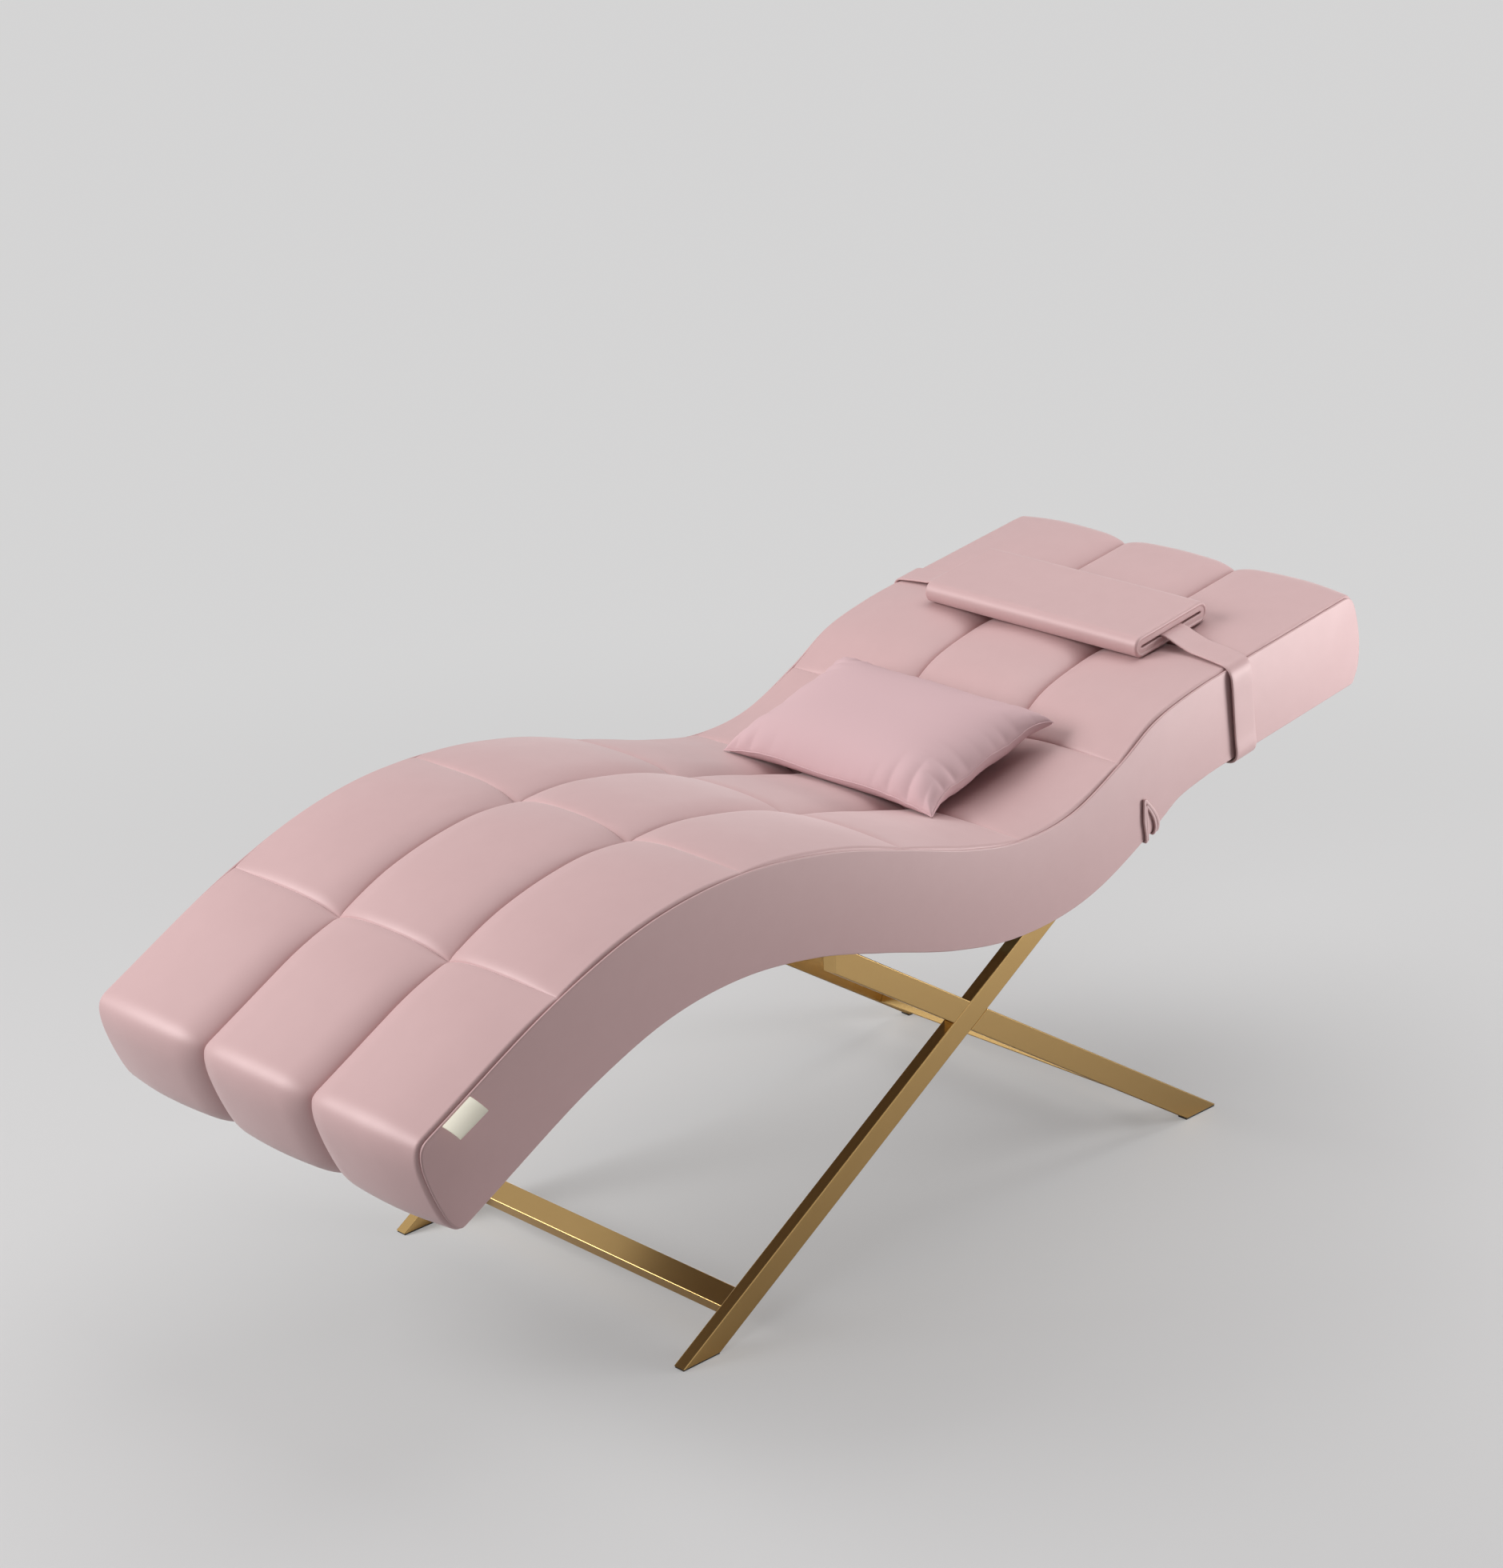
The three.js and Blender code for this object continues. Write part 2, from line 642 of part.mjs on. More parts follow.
// A round tube through side-view points at one y, with its rings square to the line
function roundTube(points, y, radius, ringSides) {
  const positions = [];
  points.forEach((point, i) => {
    const after = points[Math.min(i + 1, points.length - 1)];
    const before = points[Math.max(i - 1, 0)];
    const normal = new THREE.Vector2(before.y - after.y, after.x - before.x).normalize();
    for (let k = 0; k < ringSides; k += 1) {
      const turn = (2 * Math.PI * k) / ringSides;
      const out = radius * Math.cos(turn);
      positions.push(point.x + normal.x * out, y + radius * Math.sin(turn), point.y + normal.y * out);
    }
  });
  const index = [];
  for (let i = 0; i < points.length - 1; i += 1) {
    for (let k = 0; k < ringSides; k += 1) {
      const a = i * ringSides + k;
      const b = i * ringSides + ((k + 1) % ringSides);
      index.push(a, a + ringSides, b, b, a + ringSides, b + ringSides);
    }
  }
  const last = (points.length - 1) * ringSides;
  for (let k = 1; k < ringSides - 1; k += 1) {
    index.push(0, k, k + 1);
    index.push(last, last + k + 1, last + k);
  }
  return closedGeometry(positions, index);
}

function closedGeometry(positions, index) {
  const geometry = new THREE.BufferGeometry();
  geometry.setAttribute('position', new THREE.Float32BufferAttribute(positions, 3));
  geometry.setIndex(index);
  geometry.computeVertexNormals();
  return geometry;
}

for (const [side, sign] of sides) {
  const upperLine = trimLine(panelInset);
  const footAlong = upperLine[0].x;
  const headAlong = upperLine[upperLine.length - 1].x;
  const bottom = stationsBetween(footAlong, headAlong).slice(1, -1).reverse()
    .map((along) => new THREE.Vector2(along, bottomUp));
  const outline = [...upperLine, ...bottom].map((point) => bodyPoint(point.x, point.y)).reverse();
  const [low, high] = mirroredBand(sign, farSide - panelThickness, farSide);
  addPiece(`side_panel_${side}`, acrossBed(outline, low, high, panelEdgeRadius), leather);

  const weltPoints = offsetLine(upperLine.map((point) => bodyPoint(point.x, point.y)), weltRadius + gap);
  const weltY = sign * (farSide - panelThickness + weltRadius + gap);
  addPiece(`welt_${side}`, roundTube(weltPoints, weltY, weltRadius, weltSides), leather);
}

// Quilted cover: a padded sheet over the top and both ends, sewn down along cross seams and long seams
const columnShares = [0, 0.1, 0.3, 0.7, 0.9];
const columnEdge = bedWidth / quiltColumns / 2;

// Stations of the cover in the side view, each with its row and the point inside it
function coverStations() {
  const innerFoot = innerEnd(footEnd, 1);
  const innerHead = innerEnd(headEnd, -1);
  const lastRow = rowEnds.length - 2;
  const stations = footEnd.map((point, i) => ({ along: point.x, up: point.y, row: 0, inner: innerFoot[i] }));
  stationsAlong.slice(1, -1).forEach((along) => {
    const row = rowEnds.findIndex((end) => end >= along) - 1;
    stations.push({ along, up: bodyDepth, row, inner: new THREE.Vector2(along, innerUp) });
  });
  headEnd.map((point, i) => ({ along: point.x, up: point.y, row: lastRow, inner: innerHead[i] })).reverse()
    .forEach((station) => stations.push(station));
  stations[0].travel = 0;
  for (let i = 1; i < stations.length; i += 1) {
    const station = stations[i];
    const before = stations[i - 1];
    station.travel = before.travel + Math.hypot(station.along - before.along, station.up - before.up);
  }
  return stations;
}

// Outward direction at a station, from its neighbours
function stationNormal(stations, index) {
  const before = stations[Math.max(index - 1, 0)];
  const after = stations[Math.min(index + 1, stations.length - 1)];
  return new THREE.Vector2(-(after.up - before.up), after.along - before.along).normalize();
}

function swell(share) {
  return 1 - Math.abs(2 * share - 1) ** swellPower;
}

// Height of the quilting over the seam line, by row, place in the row and place across the bed. The end rows
// meet their hem a little way into the swell, and the grooves get shallower towards the head.
function quiltHeight(row, rowShare, y) {
  const lastRow = rowEnds.length - 2;
  const swellLow = row === 0 ? hemShare : 0;
  const swellHigh = row === lastRow ? 1 - hemShare : 1;
  const rowSwell = swell(THREE.MathUtils.lerp(swellLow, swellHigh, rowShare));
  const grooveShare = row === lastRow ? THREE.MathUtils.lerp(1, headGrooveShare, rowShare) : 1;
  const size = Math.abs(y);
  const columnShare = size <= columnEdge
    ? (y + columnEdge) / (2 * columnEdge)
    : (size - columnEdge) / (coverHalf - columnEdge);
  const nearEdge = THREE.MathUtils.smoothstep(coverHalf - size, 0, edgeRun);
  const sewn = -grooveDepth * grooveShare * nearEdge;
  return sewn + (crownHeight - sewn) * rowSwell * swell(columnShare);
}

function coverGeometry() {
  const stations = coverStations();
  const rowStart = [];
  const rowEnd = [];
  for (const station of stations) {
    rowStart[station.row] = Math.min(rowStart[station.row] ?? Infinity, station.travel);
    rowEnd[station.row] = Math.max(rowEnd[station.row] ?? 0, station.travel);
  }
  const columnEdges = [-coverHalf, -columnEdge, columnEdge, coverHalf];
  const across = [];
  for (let column = 0; column < quiltColumns; column += 1) {
    for (const share of columnShares) {
      across.push(THREE.MathUtils.lerp(columnEdges[column], columnEdges[column + 1], share));
    }
  }
  across.push(coverHalf);
  const positions = [];
  const ringSize = across.length + 2;
  stations.forEach((station, index) => {
    const normal = stationNormal(stations, index);
    const start = station.row > 0 ? rowEnd[station.row - 1] : 0;
    const rowShare = (station.travel - start) / (rowEnd[station.row] - start);
    for (const y of across) {
      const height = quiltHeight(station.row, rowShare, y);
      const place = bodyPoint(station.along + normal.x * height, station.up + normal.y * height);
      positions.push(place.x, y, place.y);
    }
    const inner = bodyPoint(station.inner.x, station.inner.y);
    positions.push(inner.x, coverHalf, inner.y, inner.x, -coverHalf, inner.y);
  });
  const index = [];
  for (let i = 0; i < stations.length - 1; i += 1) {
    for (let j = 0; j < ringSize; j += 1) {
      const next = (j + 1) % ringSize;
      const a = i * ringSize + j;
      const b = i * ringSize + next;
      const c = (i + 1) * ringSize + j;
      const d = (i + 1) * ringSize + next;
      index.push(a, c, b, b, c, d);
    }
  }
  const last = (stations.length - 1) * ringSize;
  const farInner = ringSize - 2;
  for (let j = 0; j < ringSize - 3; j += 1) {
    index.push(farInner, j, j + 1);
    index.push(last + farInner, last + j + 1, last + j);
  }
  index.push(farInner, ringSize - 1, 0);
  index.push(last + farInner, last, last + ringSize - 1);
  return closedGeometry(positions, index);
}

const cover = addPiece('quilted_cover', coverGeometry(), leather);

// Headrest: everything in the plane square to the straight head section, turned into place as a group
const padAlong = alongAt(padPlaceShare * bedLength);
const padAngle = bodyAngle(padAlong);
const padOrigin = bodyPoint(padAlong, bodyDepth);
const headrest = new THREE.Group();
headrest.position.set(padOrigin.x, 0, padOrigin.y);
headrest.rotation.y = -padAngle;
bed.add(headrest);

// Height over the pad's sliding plane of a point of the body
function overPlane(along, up) {
  const place = bodyPoint(THREE.MathUtils.clamp(along, 0, seamLength), up);
  return (place.y - padOrigin.y) * Math.cos(padAngle) - (place.x - padOrigin.x) * Math.sin(padAngle);
}

// Places along the body that a piece of one width passes as the headrest slides
function sweptPlaces(width) {
  const low = padAlong - width / 2 - padSlideDown;
  const high = Math.min(padAlong + width / 2 + padSlideUp, seamLength);
  const count = Math.ceil((high - low) / weltRadius);
  return Array.from({ length: count + 1 }, (_, i) => THREE.MathUtils.lerp(low, high, i / count));
}

// Most that the quilting stands over that plane, at one y, wherever the pad passes
function sweptHeight(y) {
  const heights = sweptPlaces(padWidth).map((along) => {
    const row = rowEnds.findIndex((end) => end >= along) - 1;
    const rowShare = (along - rowEnds[row]) / (rowEnds[row + 1] - rowEnds[row]);
    return overPlane(along, bodyDepth + quiltHeight(row, rowShare, y));
  });
  return Math.max(...heights);
}

const padSeat = sweptHeight((columnEdge + coverHalf) / 2) + 2 * gap;
const padMiddle = padSeat + padThickness / 2;

// Half of the pad: a slab with a half-round long edge and a shallow tunnel for the strap
function padHalfOutline(side) {
  const half = padThickness / 2;
  const flat = padWidth / 2 - half;
  const turns = Array.from({ length: bendSteps + 1 }, (_, i) => (Math.PI / 2) * (i / bendSteps));
  const arc = turns.map((turn) => new THREE.Vector2(
    flat + half * Math.cos(turn), side * (gap / 2 + (half - gap / 2) * Math.sin(turn))));
  const otherArc = arc.map((point) => new THREE.Vector2(-point.x, point.y)).reverse();
  const tunnel = [
    new THREE.Vector2(-padTunnelWidth / 2, side * gap / 2),
    new THREE.Vector2(-padTunnelWidth / 2, side * padTunnelHeight / 2),
    new THREE.Vector2(padTunnelWidth / 2, side * padTunnelHeight / 2),
    new THREE.Vector2(padTunnelWidth / 2, side * gap / 2)];
  const points = [...arc, ...otherArc, ...tunnel];
  return side > 0 ? points : points.reverse();
}

for (const [name, side] of [['headrest_pad_upper', 1], ['headrest_pad_lower', -1]]) {
  const half = acrossBed(padHalfOutline(side), -padLength / 2, padLength / 2);
  addPiece(name, half.translate(0, 0, padMiddle), leather, headrest);
}

// Strap: a flat band through the pad, over the cover, down both sides and lapped under the body
const strapSide = farSide + strapStandoff + strapThickness / 2;
const lowestUnderside = Math.min(...sweptPlaces(strapWidth).map((along) => overPlane(along, 0)));
const strapUnder = lowestUnderside - strapStandoff - strapThickness / 2;
const lapDrop = strapThickness + fastenerThickness + 2 * gap;

function strapLine() {
  const clear = strapThickness / 2 + 2 * gap;
  const flatEnd = padLength / 2 + padShift + strapThickness;
  const touchDown = flatEnd + padMiddle * strapDropShare;
  const half = [];
  half.push(new THREE.Vector2(flatEnd, padMiddle));
  const landing = sweptHeight(touchDown) + clear;
  for (let i = 1; i <= bendSteps; i += 1) {
    const share = i / bendSteps;
    const ease = share * share * (3 - 2 * share);
    const y = THREE.MathUtils.lerp(flatEnd, touchDown, share);
    half.push(new THREE.Vector2(y, THREE.MathUtils.lerp(padMiddle, landing, ease)));
  }
  const runSteps = 4;
  const runEnd = farSide - strapBend;
  for (let i = 1; i <= runSteps; i += 1) {
    const y = THREE.MathUtils.lerp(touchDown, runEnd, i / runSteps);
    const crest = sweptHeight(Math.min(y, coverHalf));
    half.push(new THREE.Vector2(y, Math.max(crest, 0) + clear));
  }
  const cornerTop = half[half.length - 1].y;
  const corner = new THREE.CubicBezierCurve(
    half[half.length - 1],
    new THREE.Vector2(farSide, cornerTop),
    new THREE.Vector2(strapSide, cornerTop - strapStandoff),
    new THREE.Vector2(strapSide, -strapBend));
  half.push(...corner.getPoints(bendSteps).slice(1));
  return half;
}

function strapOutline() {
  const half = strapLine();
  const lowerBend = (sign, depth) => new THREE.QuadraticBezierCurve(
    new THREE.Vector2(sign * strapSide, depth + strapBend),
    new THREE.Vector2(sign * strapSide, depth),
    new THREE.Vector2(sign * (strapSide - strapBend), depth)).getPoints(4);
  const near = half.map((point) => new THREE.Vector2(-point.x, point.y));
  const line = [
    new THREE.Vector2(strapOverlap / 2, strapUnder),
    ...lowerBend(-1, strapUnder).reverse(),
    ...near.reverse(),
    ...half,
    ...lowerBend(1, strapUnder - lapDrop),
    new THREE.Vector2(-strapOverlap / 2, strapUnder - lapDrop),
  ];
  const left = [];
  const right = [];
  line.forEach((point, index) => {
    const before = line[Math.max(index - 1, 0)];
    const after = line[Math.min(index + 1, line.length - 1)];
    const normal = new THREE.Vector2(-(after.y - before.y), after.x - before.x).normalize();
    left.push(point.clone().addScaledVector(normal, strapThickness / 2));
    right.push(point.clone().addScaledVector(normal, -strapThickness / 2));
  });
  return [...left, ...right.reverse()];
}

// Extrudes a section that lies square to the bed's length along it, centred on the origin
function alongBed(points, length) {
  const geometry = new THREE.ExtrudeGeometry(new THREE.Shape(points), { depth: length, bevelEnabled: false });
  return geometry.translate(0, 0, -length / 2).rotateX(Math.PI / 2).rotateZ(Math.PI / 2);
}

addPiece('headrest_strap', alongBed(strapOutline(), strapWidth), leather, headrest);

const fastener = new THREE.BoxGeometry(
  strapWidth - 2 * fastenerInset, strapOverlap - 2 * fastenerInset, fastenerThickness);
const fastenerUp = strapUnder - strapThickness / 2 - gap - fastenerThickness / 2;
addPiece('strap_fastener', fastener.translate(0, 0, fastenerUp), nylon, headrest);

// Pillow: two swelling faces that meet in an edge seam, with sides drawn in between the corners
function pillowGeometry() {
  const longSteps = 22;
  const wideSteps = 14;
  const positions = [];
  for (const face of [1, -1]) {
    for (let i = 0; i <= wideSteps; i += 1) {
      for (let j = 0; j <= longSteps; j += 1) {
        const u = -Math.cos((Math.PI * i) / wideSteps);
        const v = -Math.cos((Math.PI * j) / longSteps);
        const x = (pillowWidth / 2) * u * (1 - pillowPinchShare * (1 - v * v) * u * u);
        const y = (pillowLength / 2) * v * (1 - pillowPinchShare * (1 - u * u) * v * v);
        const bulge = ((1 - u * u) * (1 - v * v)) ** pillowBluntnessShare;
        const half = (pillowThickness / 2 - pillowEdge / 2) * bulge + pillowEdge / 2;
        positions.push(x, y, face * half);
      }
    }
  }
  const rowSize = longSteps + 1;
  const faceSize = rowSize * (wideSteps + 1);
  const index = [];
  for (let i = 0; i < wideSteps; i += 1) {
    for (let j = 0; j < longSteps; j += 1) {
      const a = i * rowSize + j;
      const b = a + 1;
      const c = a + rowSize;
      const d = c + 1;
      index.push(a, c, b, b, c, d);
      index.push(a + faceSize, b + faceSize, c + faceSize, b + faceSize, d + faceSize, c + faceSize);
    }
  }
  const border = [];
  for (let j = 0; j < longSteps; j += 1) border.push(j);
  for (let i = 0; i < wideSteps; i += 1) border.push(i * rowSize + longSteps);
  for (let j = longSteps; j > 0; j -= 1) border.push(wideSteps * rowSize + j);
  for (let i = wideSteps; i > 0; i -= 1) border.push(i * rowSize);
  border.forEach((vertex, k) => {
    const next = border[(k + 1) % border.length];
    index.push(vertex, next, vertex + faceSize, next, next + faceSize, vertex + faceSize);
  });
  return closedGeometry(positions, index).rotateY(-pillowTilt);
}

// Least height between two pieces, one over the other, by rays down from the upper and up from the lower
function roomBetween(upper, lower) {
  const ray = new THREE.Raycaster();
  const down = new THREE.Vector3(0, 0, -1);
  let least = Infinity;
  for (const [from, onto, direction] of [[upper, lower, down], [lower, upper, down.clone().negate()]]) {
    const points = from.geometry.attributes.position;
    for (let i = 0; i < points.count; i += 1) {
      ray.set(new THREE.Vector3().fromBufferAttribute(points, i), direction);
      const [hit] = ray.intersectObject(onto);
      if (hit) least = Math.min(least, hit.distance);
    }
  }
  return least;
}

const pillow = pillowGeometry().translate(pillowPlaceShare * bedLength, 0, 2 * headSeamHeight);
const pillowMesh = addPiece('pillow', pillow, satin);
pillow.translate(0, 0, gap - roomBetween(pillowMesh, cover));

// Ribbon tab sewn into the side seam near the foot, folded double and hanging on the side panel
const labelAlong = labelPlaceShare * seamLength + labelWidth / 2;
const labelTop = bodyPoint(labelAlong, bodyDepth - weltRadius);
const labelBox = new THREE.BoxGeometry(labelWidth, labelThickness, labelDrop);
const label = addPiece('label_tab', labelBox.translate(0, 0, -labelDrop / 2), ribbon);
label.position.set(labelTop.x, nearSide - gap - labelThickness / 2, labelTop.y);
label.rotation.y = -bodyAngle(labelAlong);

// Pleats of folded cover sheet that come round the lower edge of the near side, one inside the other
const pleatAlong = alongAt(pleatPlaceShare * bedLength, 0);
const pleatGroup = new THREE.Group();
const pleatFoot = bodyPoint(pleatAlong, 0);
pleatGroup.position.set(pleatFoot.x, nearSide, pleatFoot.y);
pleatGroup.rotation.y = -bodyAngle(pleatAlong);
bed.add(pleatGroup);

function chevron(width, height, band) {
  const half = width / 2;
  const shape = new THREE.Shape();
  shape.moveTo(-half, -pleatUnderhang);
  shape.quadraticCurveTo(-half, height * pleatShoulderShare, 0, height);
  shape.quadraticCurveTo(half, height * pleatShoulderShare, half, -pleatUnderhang);
  shape.lineTo(half - band, -pleatUnderhang);
  shape.quadraticCurveTo(half - band, height * pleatInnerShoulderShare, 0, height - 2 * band);
  shape.quadraticCurveTo(-half + band, height * pleatInnerShoulderShare, -half + band, -pleatUnderhang);
  return shape;
}

const pleatStep = pleatBand + 2 * gap;
const innerChevron = chevron(pleatWidth - 2 * pleatStep, pleatHeight - 3 * pleatStep, pleatBand);
const pleats = [
  ['pleat_outer', chevron(pleatWidth, pleatHeight, pleatBand), pleatThickness],
  ['pleat_inner', innerChevron, pleatThickness * pleatInnerThicknessShare],
];
for (const [name, shape, thickness] of pleats) {
  const band = new THREE.ExtrudeGeometry(shape, { depth: thickness, bevelEnabled: false, curveSegments: 5 });
  addPiece(name, band.rotateX(Math.PI / 2).translate(0, -gap, 0), leather, pleatGroup);
}

const tuckHalf = pleatWidth / 2;
const tuckLength = frameInset - plateOuterWidth - 2 * gap;
const tuckOutline = layerOutline(
  pleatAlong - tuckHalf, pleatAlong + tuckHalf, -gap - pleatThickness, -gap);
addPiece('pleat_tuck', acrossBed(tuckOutline, nearSide + gap, nearSide + gap + tuckLength), leather);

// The origin stands on the floor under the middle of the bed's footprint
const part = new THREE.Group();
bed.updateMatrixWorld(true);
const extent = new THREE.Box3().setFromObject(bed, true);
bed.position.x = -(extent.min.x + extent.max.x) / 2;
bed.position.y = -(extent.min.y + extent.max.y) / 2;
part.add(bed);

export default part;
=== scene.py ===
"""Looks of a wave-shaped salon bed.

A quilted faux leather body with plain side panels stands on a base of crossed satin brass tubes. A flat
headrest pad rides on a strap round the body, and a loose satin pillow lies in the hollow. The foot end is
at -X, the head end at +X, the near side at -Y and the floor at Z = 0. Every length is in metres.
"""

import logging
import math
from dataclasses import dataclass
from enum import Enum
from functools import cache

import bpy
import numpy as np
from mathutils import Matrix, Vector


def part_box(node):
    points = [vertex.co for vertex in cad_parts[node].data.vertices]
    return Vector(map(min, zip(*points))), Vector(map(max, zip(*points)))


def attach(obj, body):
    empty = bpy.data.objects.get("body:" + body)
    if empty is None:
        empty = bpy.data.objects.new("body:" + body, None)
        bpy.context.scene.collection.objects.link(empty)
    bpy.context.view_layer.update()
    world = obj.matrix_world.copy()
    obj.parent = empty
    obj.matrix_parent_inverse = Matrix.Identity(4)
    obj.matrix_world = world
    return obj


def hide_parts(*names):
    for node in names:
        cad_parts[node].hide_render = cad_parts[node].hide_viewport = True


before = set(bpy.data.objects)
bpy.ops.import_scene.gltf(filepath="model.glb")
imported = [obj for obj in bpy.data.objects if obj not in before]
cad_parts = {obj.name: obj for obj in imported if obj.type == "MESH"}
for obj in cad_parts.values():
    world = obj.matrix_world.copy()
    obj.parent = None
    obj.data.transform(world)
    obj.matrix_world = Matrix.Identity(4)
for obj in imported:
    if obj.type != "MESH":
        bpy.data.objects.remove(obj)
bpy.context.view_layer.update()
LOG = logging.getLogger("salon_bed")
MM = 0.001
QUARTER_TURN = math.pi / 2
SHARP = math.radians(60)
SIDES = (("near", -1.0), ("far", 1.0))
MIRRORED = np.array([-1, 1])


class Body(Enum):
    """Bodies that a piece can ride on."""

    BED = "bed"
    STRAP = "headrest_strap"
    PAD = "headrest_pad"
    PILLOW = "pillow"


class Border(Enum):
    """How a grid of points is closed at the ends of its rows."""

    OPEN = "open"
    CAPPED = "capped"
    LOOPED = "looped"


def grid_faces(rows: int, columns: int, border: Border) -> tuple[np.ndarray, list[np.ndarray]]:
    """Faces of a grid whose columns close into a ring.

    Each quad joins a point to the next one round the ring and to the same two on the next row. CAPPED
    adds one face over the first row and one over the last, and LOOPED joins the last row to the first.

    Args:
        rows: number of rings.
        columns: points in a ring.
        border: how the ends are closed.

    Returns:
        The quads, and a list with the end faces.
    """
    row = np.arange(rows if border is Border.LOOPED else rows - 1)[:, None] * columns
    below = (row + columns) % (rows * columns)
    column = np.arange(columns)
    after = (column + 1) % columns
    quads = np.stack([row + column, row + after, below + after, below + column], axis=-1).reshape(-1, 4)
    caps = [column[::-1], (rows - 1) * columns + column] if border is Border.CAPPED else []
    return quads, caps


def signed_volume(points: np.ndarray, quads: np.ndarray, caps: list[np.ndarray]) -> float:
    """Volume inside a closed mesh, summed from the origin over each face's fan of triangles."""
    total = 0.0
    for faces in (quads, *(cap[None, :] for cap in caps)):
        first = points[faces[:, 0]]
        for corner in range(1, faces.shape[1] - 1):
            second = points[faces[:, corner]]
            third = points[faces[:, corner + 1]]
            total += float(np.einsum("ij,ij->i", first, np.cross(second, third)).sum())
    return total / 6


def mesh_object(name: str, points: np.ndarray, quads: np.ndarray, caps: list[np.ndarray] | None = None,
                sharp: float | None = None) -> bpy.types.Object:
    """Makes a smooth-shaded object at the origin from arrays, with its faces turned outwards.

    Args:
        name: name of the piece.
        points: vertices, one row each.
        quads: faces of four corners.
        caps: faces with any number of corners.
        sharp: edges bent by more than this angle stay sharp, in radians.

    Returns:
        The new object, linked to the scene.
    """
    caps = caps or []
    if signed_volume(points, quads, caps) < 0:
        quads = quads[:, ::-1]
        caps = [cap[::-1] for cap in caps]
    mesh = bpy.data.meshes.new(name)
    mesh.vertices.add(len(points))
    mesh.vertices.foreach_set("co", np.ascontiguousarray(points, dtype=np.float32).ravel())
    corners = np.concatenate([quads.ravel(), *caps])
    sizes = np.array([4] * len(quads) + [len(cap) for cap in caps], dtype=np.int32)
    starts = np.concatenate([[0], np.cumsum(sizes)[:-1]]).astype(np.int32)
    mesh.loops.add(len(corners))
    mesh.loops.foreach_set("vertex_index", corners.astype(np.int32))
    mesh.polygons.add(len(sizes))
    mesh.polygons.foreach_set("loop_start", starts)
    mesh.polygons.foreach_set("loop_total", sizes)
    mesh.polygons.foreach_set("use_smooth", np.ones(len(sizes), dtype=bool))
    mesh.update(calc_edges=True)
    if sharp is not None:
        mesh.set_sharp_from_angle(angle=sharp)
    piece = bpy.data.objects.new(name, mesh)
    bpy.context.scene.collection.objects.link(piece)
    return piece


def ring_object(name: str, rings: np.ndarray, border: Border,
                sharp: float | None = None) -> bpy.types.Object:
    """Makes an object from an array of rings of points, by row, place in the ring and coordinate."""
    quads, caps = grid_faces(rings.shape[0], rings.shape[1], border)
    return mesh_object(name, rings.reshape(-1, 3), quads, caps, sharp)


def unit(vectors: np.ndarray) -> np.ndarray:
    """The same directions with length 1, along the last axis."""
    return vectors / np.linalg.norm(vectors, axis=-1, keepdims=True)


def loop_slope(loop: np.ndarray) -> np.ndarray:
    """Direction of a closed line at each of its points."""
    return unit(np.roll(loop, -1, axis=0) - np.roll(loop, 1, axis=0))


def circle(count: int) -> tuple[np.ndarray, np.ndarray]:
    """Cosines and sines of evenly spaced angles round a circle."""
    turn = np.linspace(0, 2 * math.pi, count, endpoint=False)
    return np.cos(turn), np.sin(turn)


def half_round_bar(on_arc: int, on_flat: int) -> tuple[np.ndarray, np.ndarray, np.ndarray]:
    """Section of a flat bar with half-round edges.

    Args:
        on_arc: points on each edge.
        on_flat: points between the edges, on each face.

    Returns:
        Each point's share of the flat half width, of the radius across and of the radius up.
    """
    angle = np.linspace(-QUARTER_TURN, QUARTER_TURN, on_arc)
    flat = np.linspace(1, -1, on_flat + 2)[1:-1]
    half = np.stack([np.concatenate([np.ones(on_arc), flat]),
                     np.concatenate([np.cos(angle), np.zeros(on_flat)]),
                     np.concatenate([np.sin(angle), np.ones(on_flat)])])
    return tuple(np.concatenate([half, -half], axis=1))


def catmull_rom(points: np.ndarray, per_span: int, knot_power: float) -> np.ndarray:
    """Points on a Catmull-Rom curve.

    Each span is a cubic whose end slopes come from the neighbouring points, with knots spaced by the
    distance between points raised to knot_power: 0.5 is centripetal and 0 is uniform.

    Args:
        points: the points that the curve passes.
        per_span: samples on each span.
        knot_power: power of the distance that spaces the knots.

    Returns:
        The samples, with the last point.
    """
    padded = np.vstack([2 * points[0] - points[1], points, 2 * points[-1] - points[-2]])
    before, start, end, after = padded[:-3], padded[1:-2], padded[2:-1], padded[3:]
    step0, step1, step2 = (np.linalg.norm(b - a, axis=1, keepdims=True) ** knot_power
                           for a, b in ((before, start), (start, end), (end, after)))
    slope_start = ((start - before) / step0 - (end - before) / (step0 + step1)
                   + (end - start) / step1) * step1
    slope_end = ((end - start) / step1 - (after - start) / (step1 + step2)
                 + (after - end) / step2) * step1
    share = np.linspace(0, 1, per_span, endpoint=False)[None, :, None]
    start, end, slope_start, slope_end = (a[:, None, :] for a in (start, end, slope_start, slope_end))
    curve = (start + slope_start * share + (3 * (end - start) - 2 * slope_start - slope_end) * share ** 2
             + (2 * (start - end) + slope_start + slope_end) * share ** 3)
    return np.vstack([curve.reshape(-1, points.shape[1]), points[-1]])


def travelled(points: np.ndarray) -> np.ndarray:
    """Distance travelled along a line of points, from 0 at the first."""
    return np.concatenate([[0], np.cumsum(np.linalg.norm(np.diff(points, axis=0), axis=1))])


def respaced(points: np.ndarray, count: int) -> np.ndarray:
    """The same line with its points evenly spaced along it."""
    travel = travelled(points)
    even = np.linspace(0, travel[-1], count)
    return np.stack([np.interp(even, travel, points[:, k]) for k in range(points.shape[1])], axis=1)


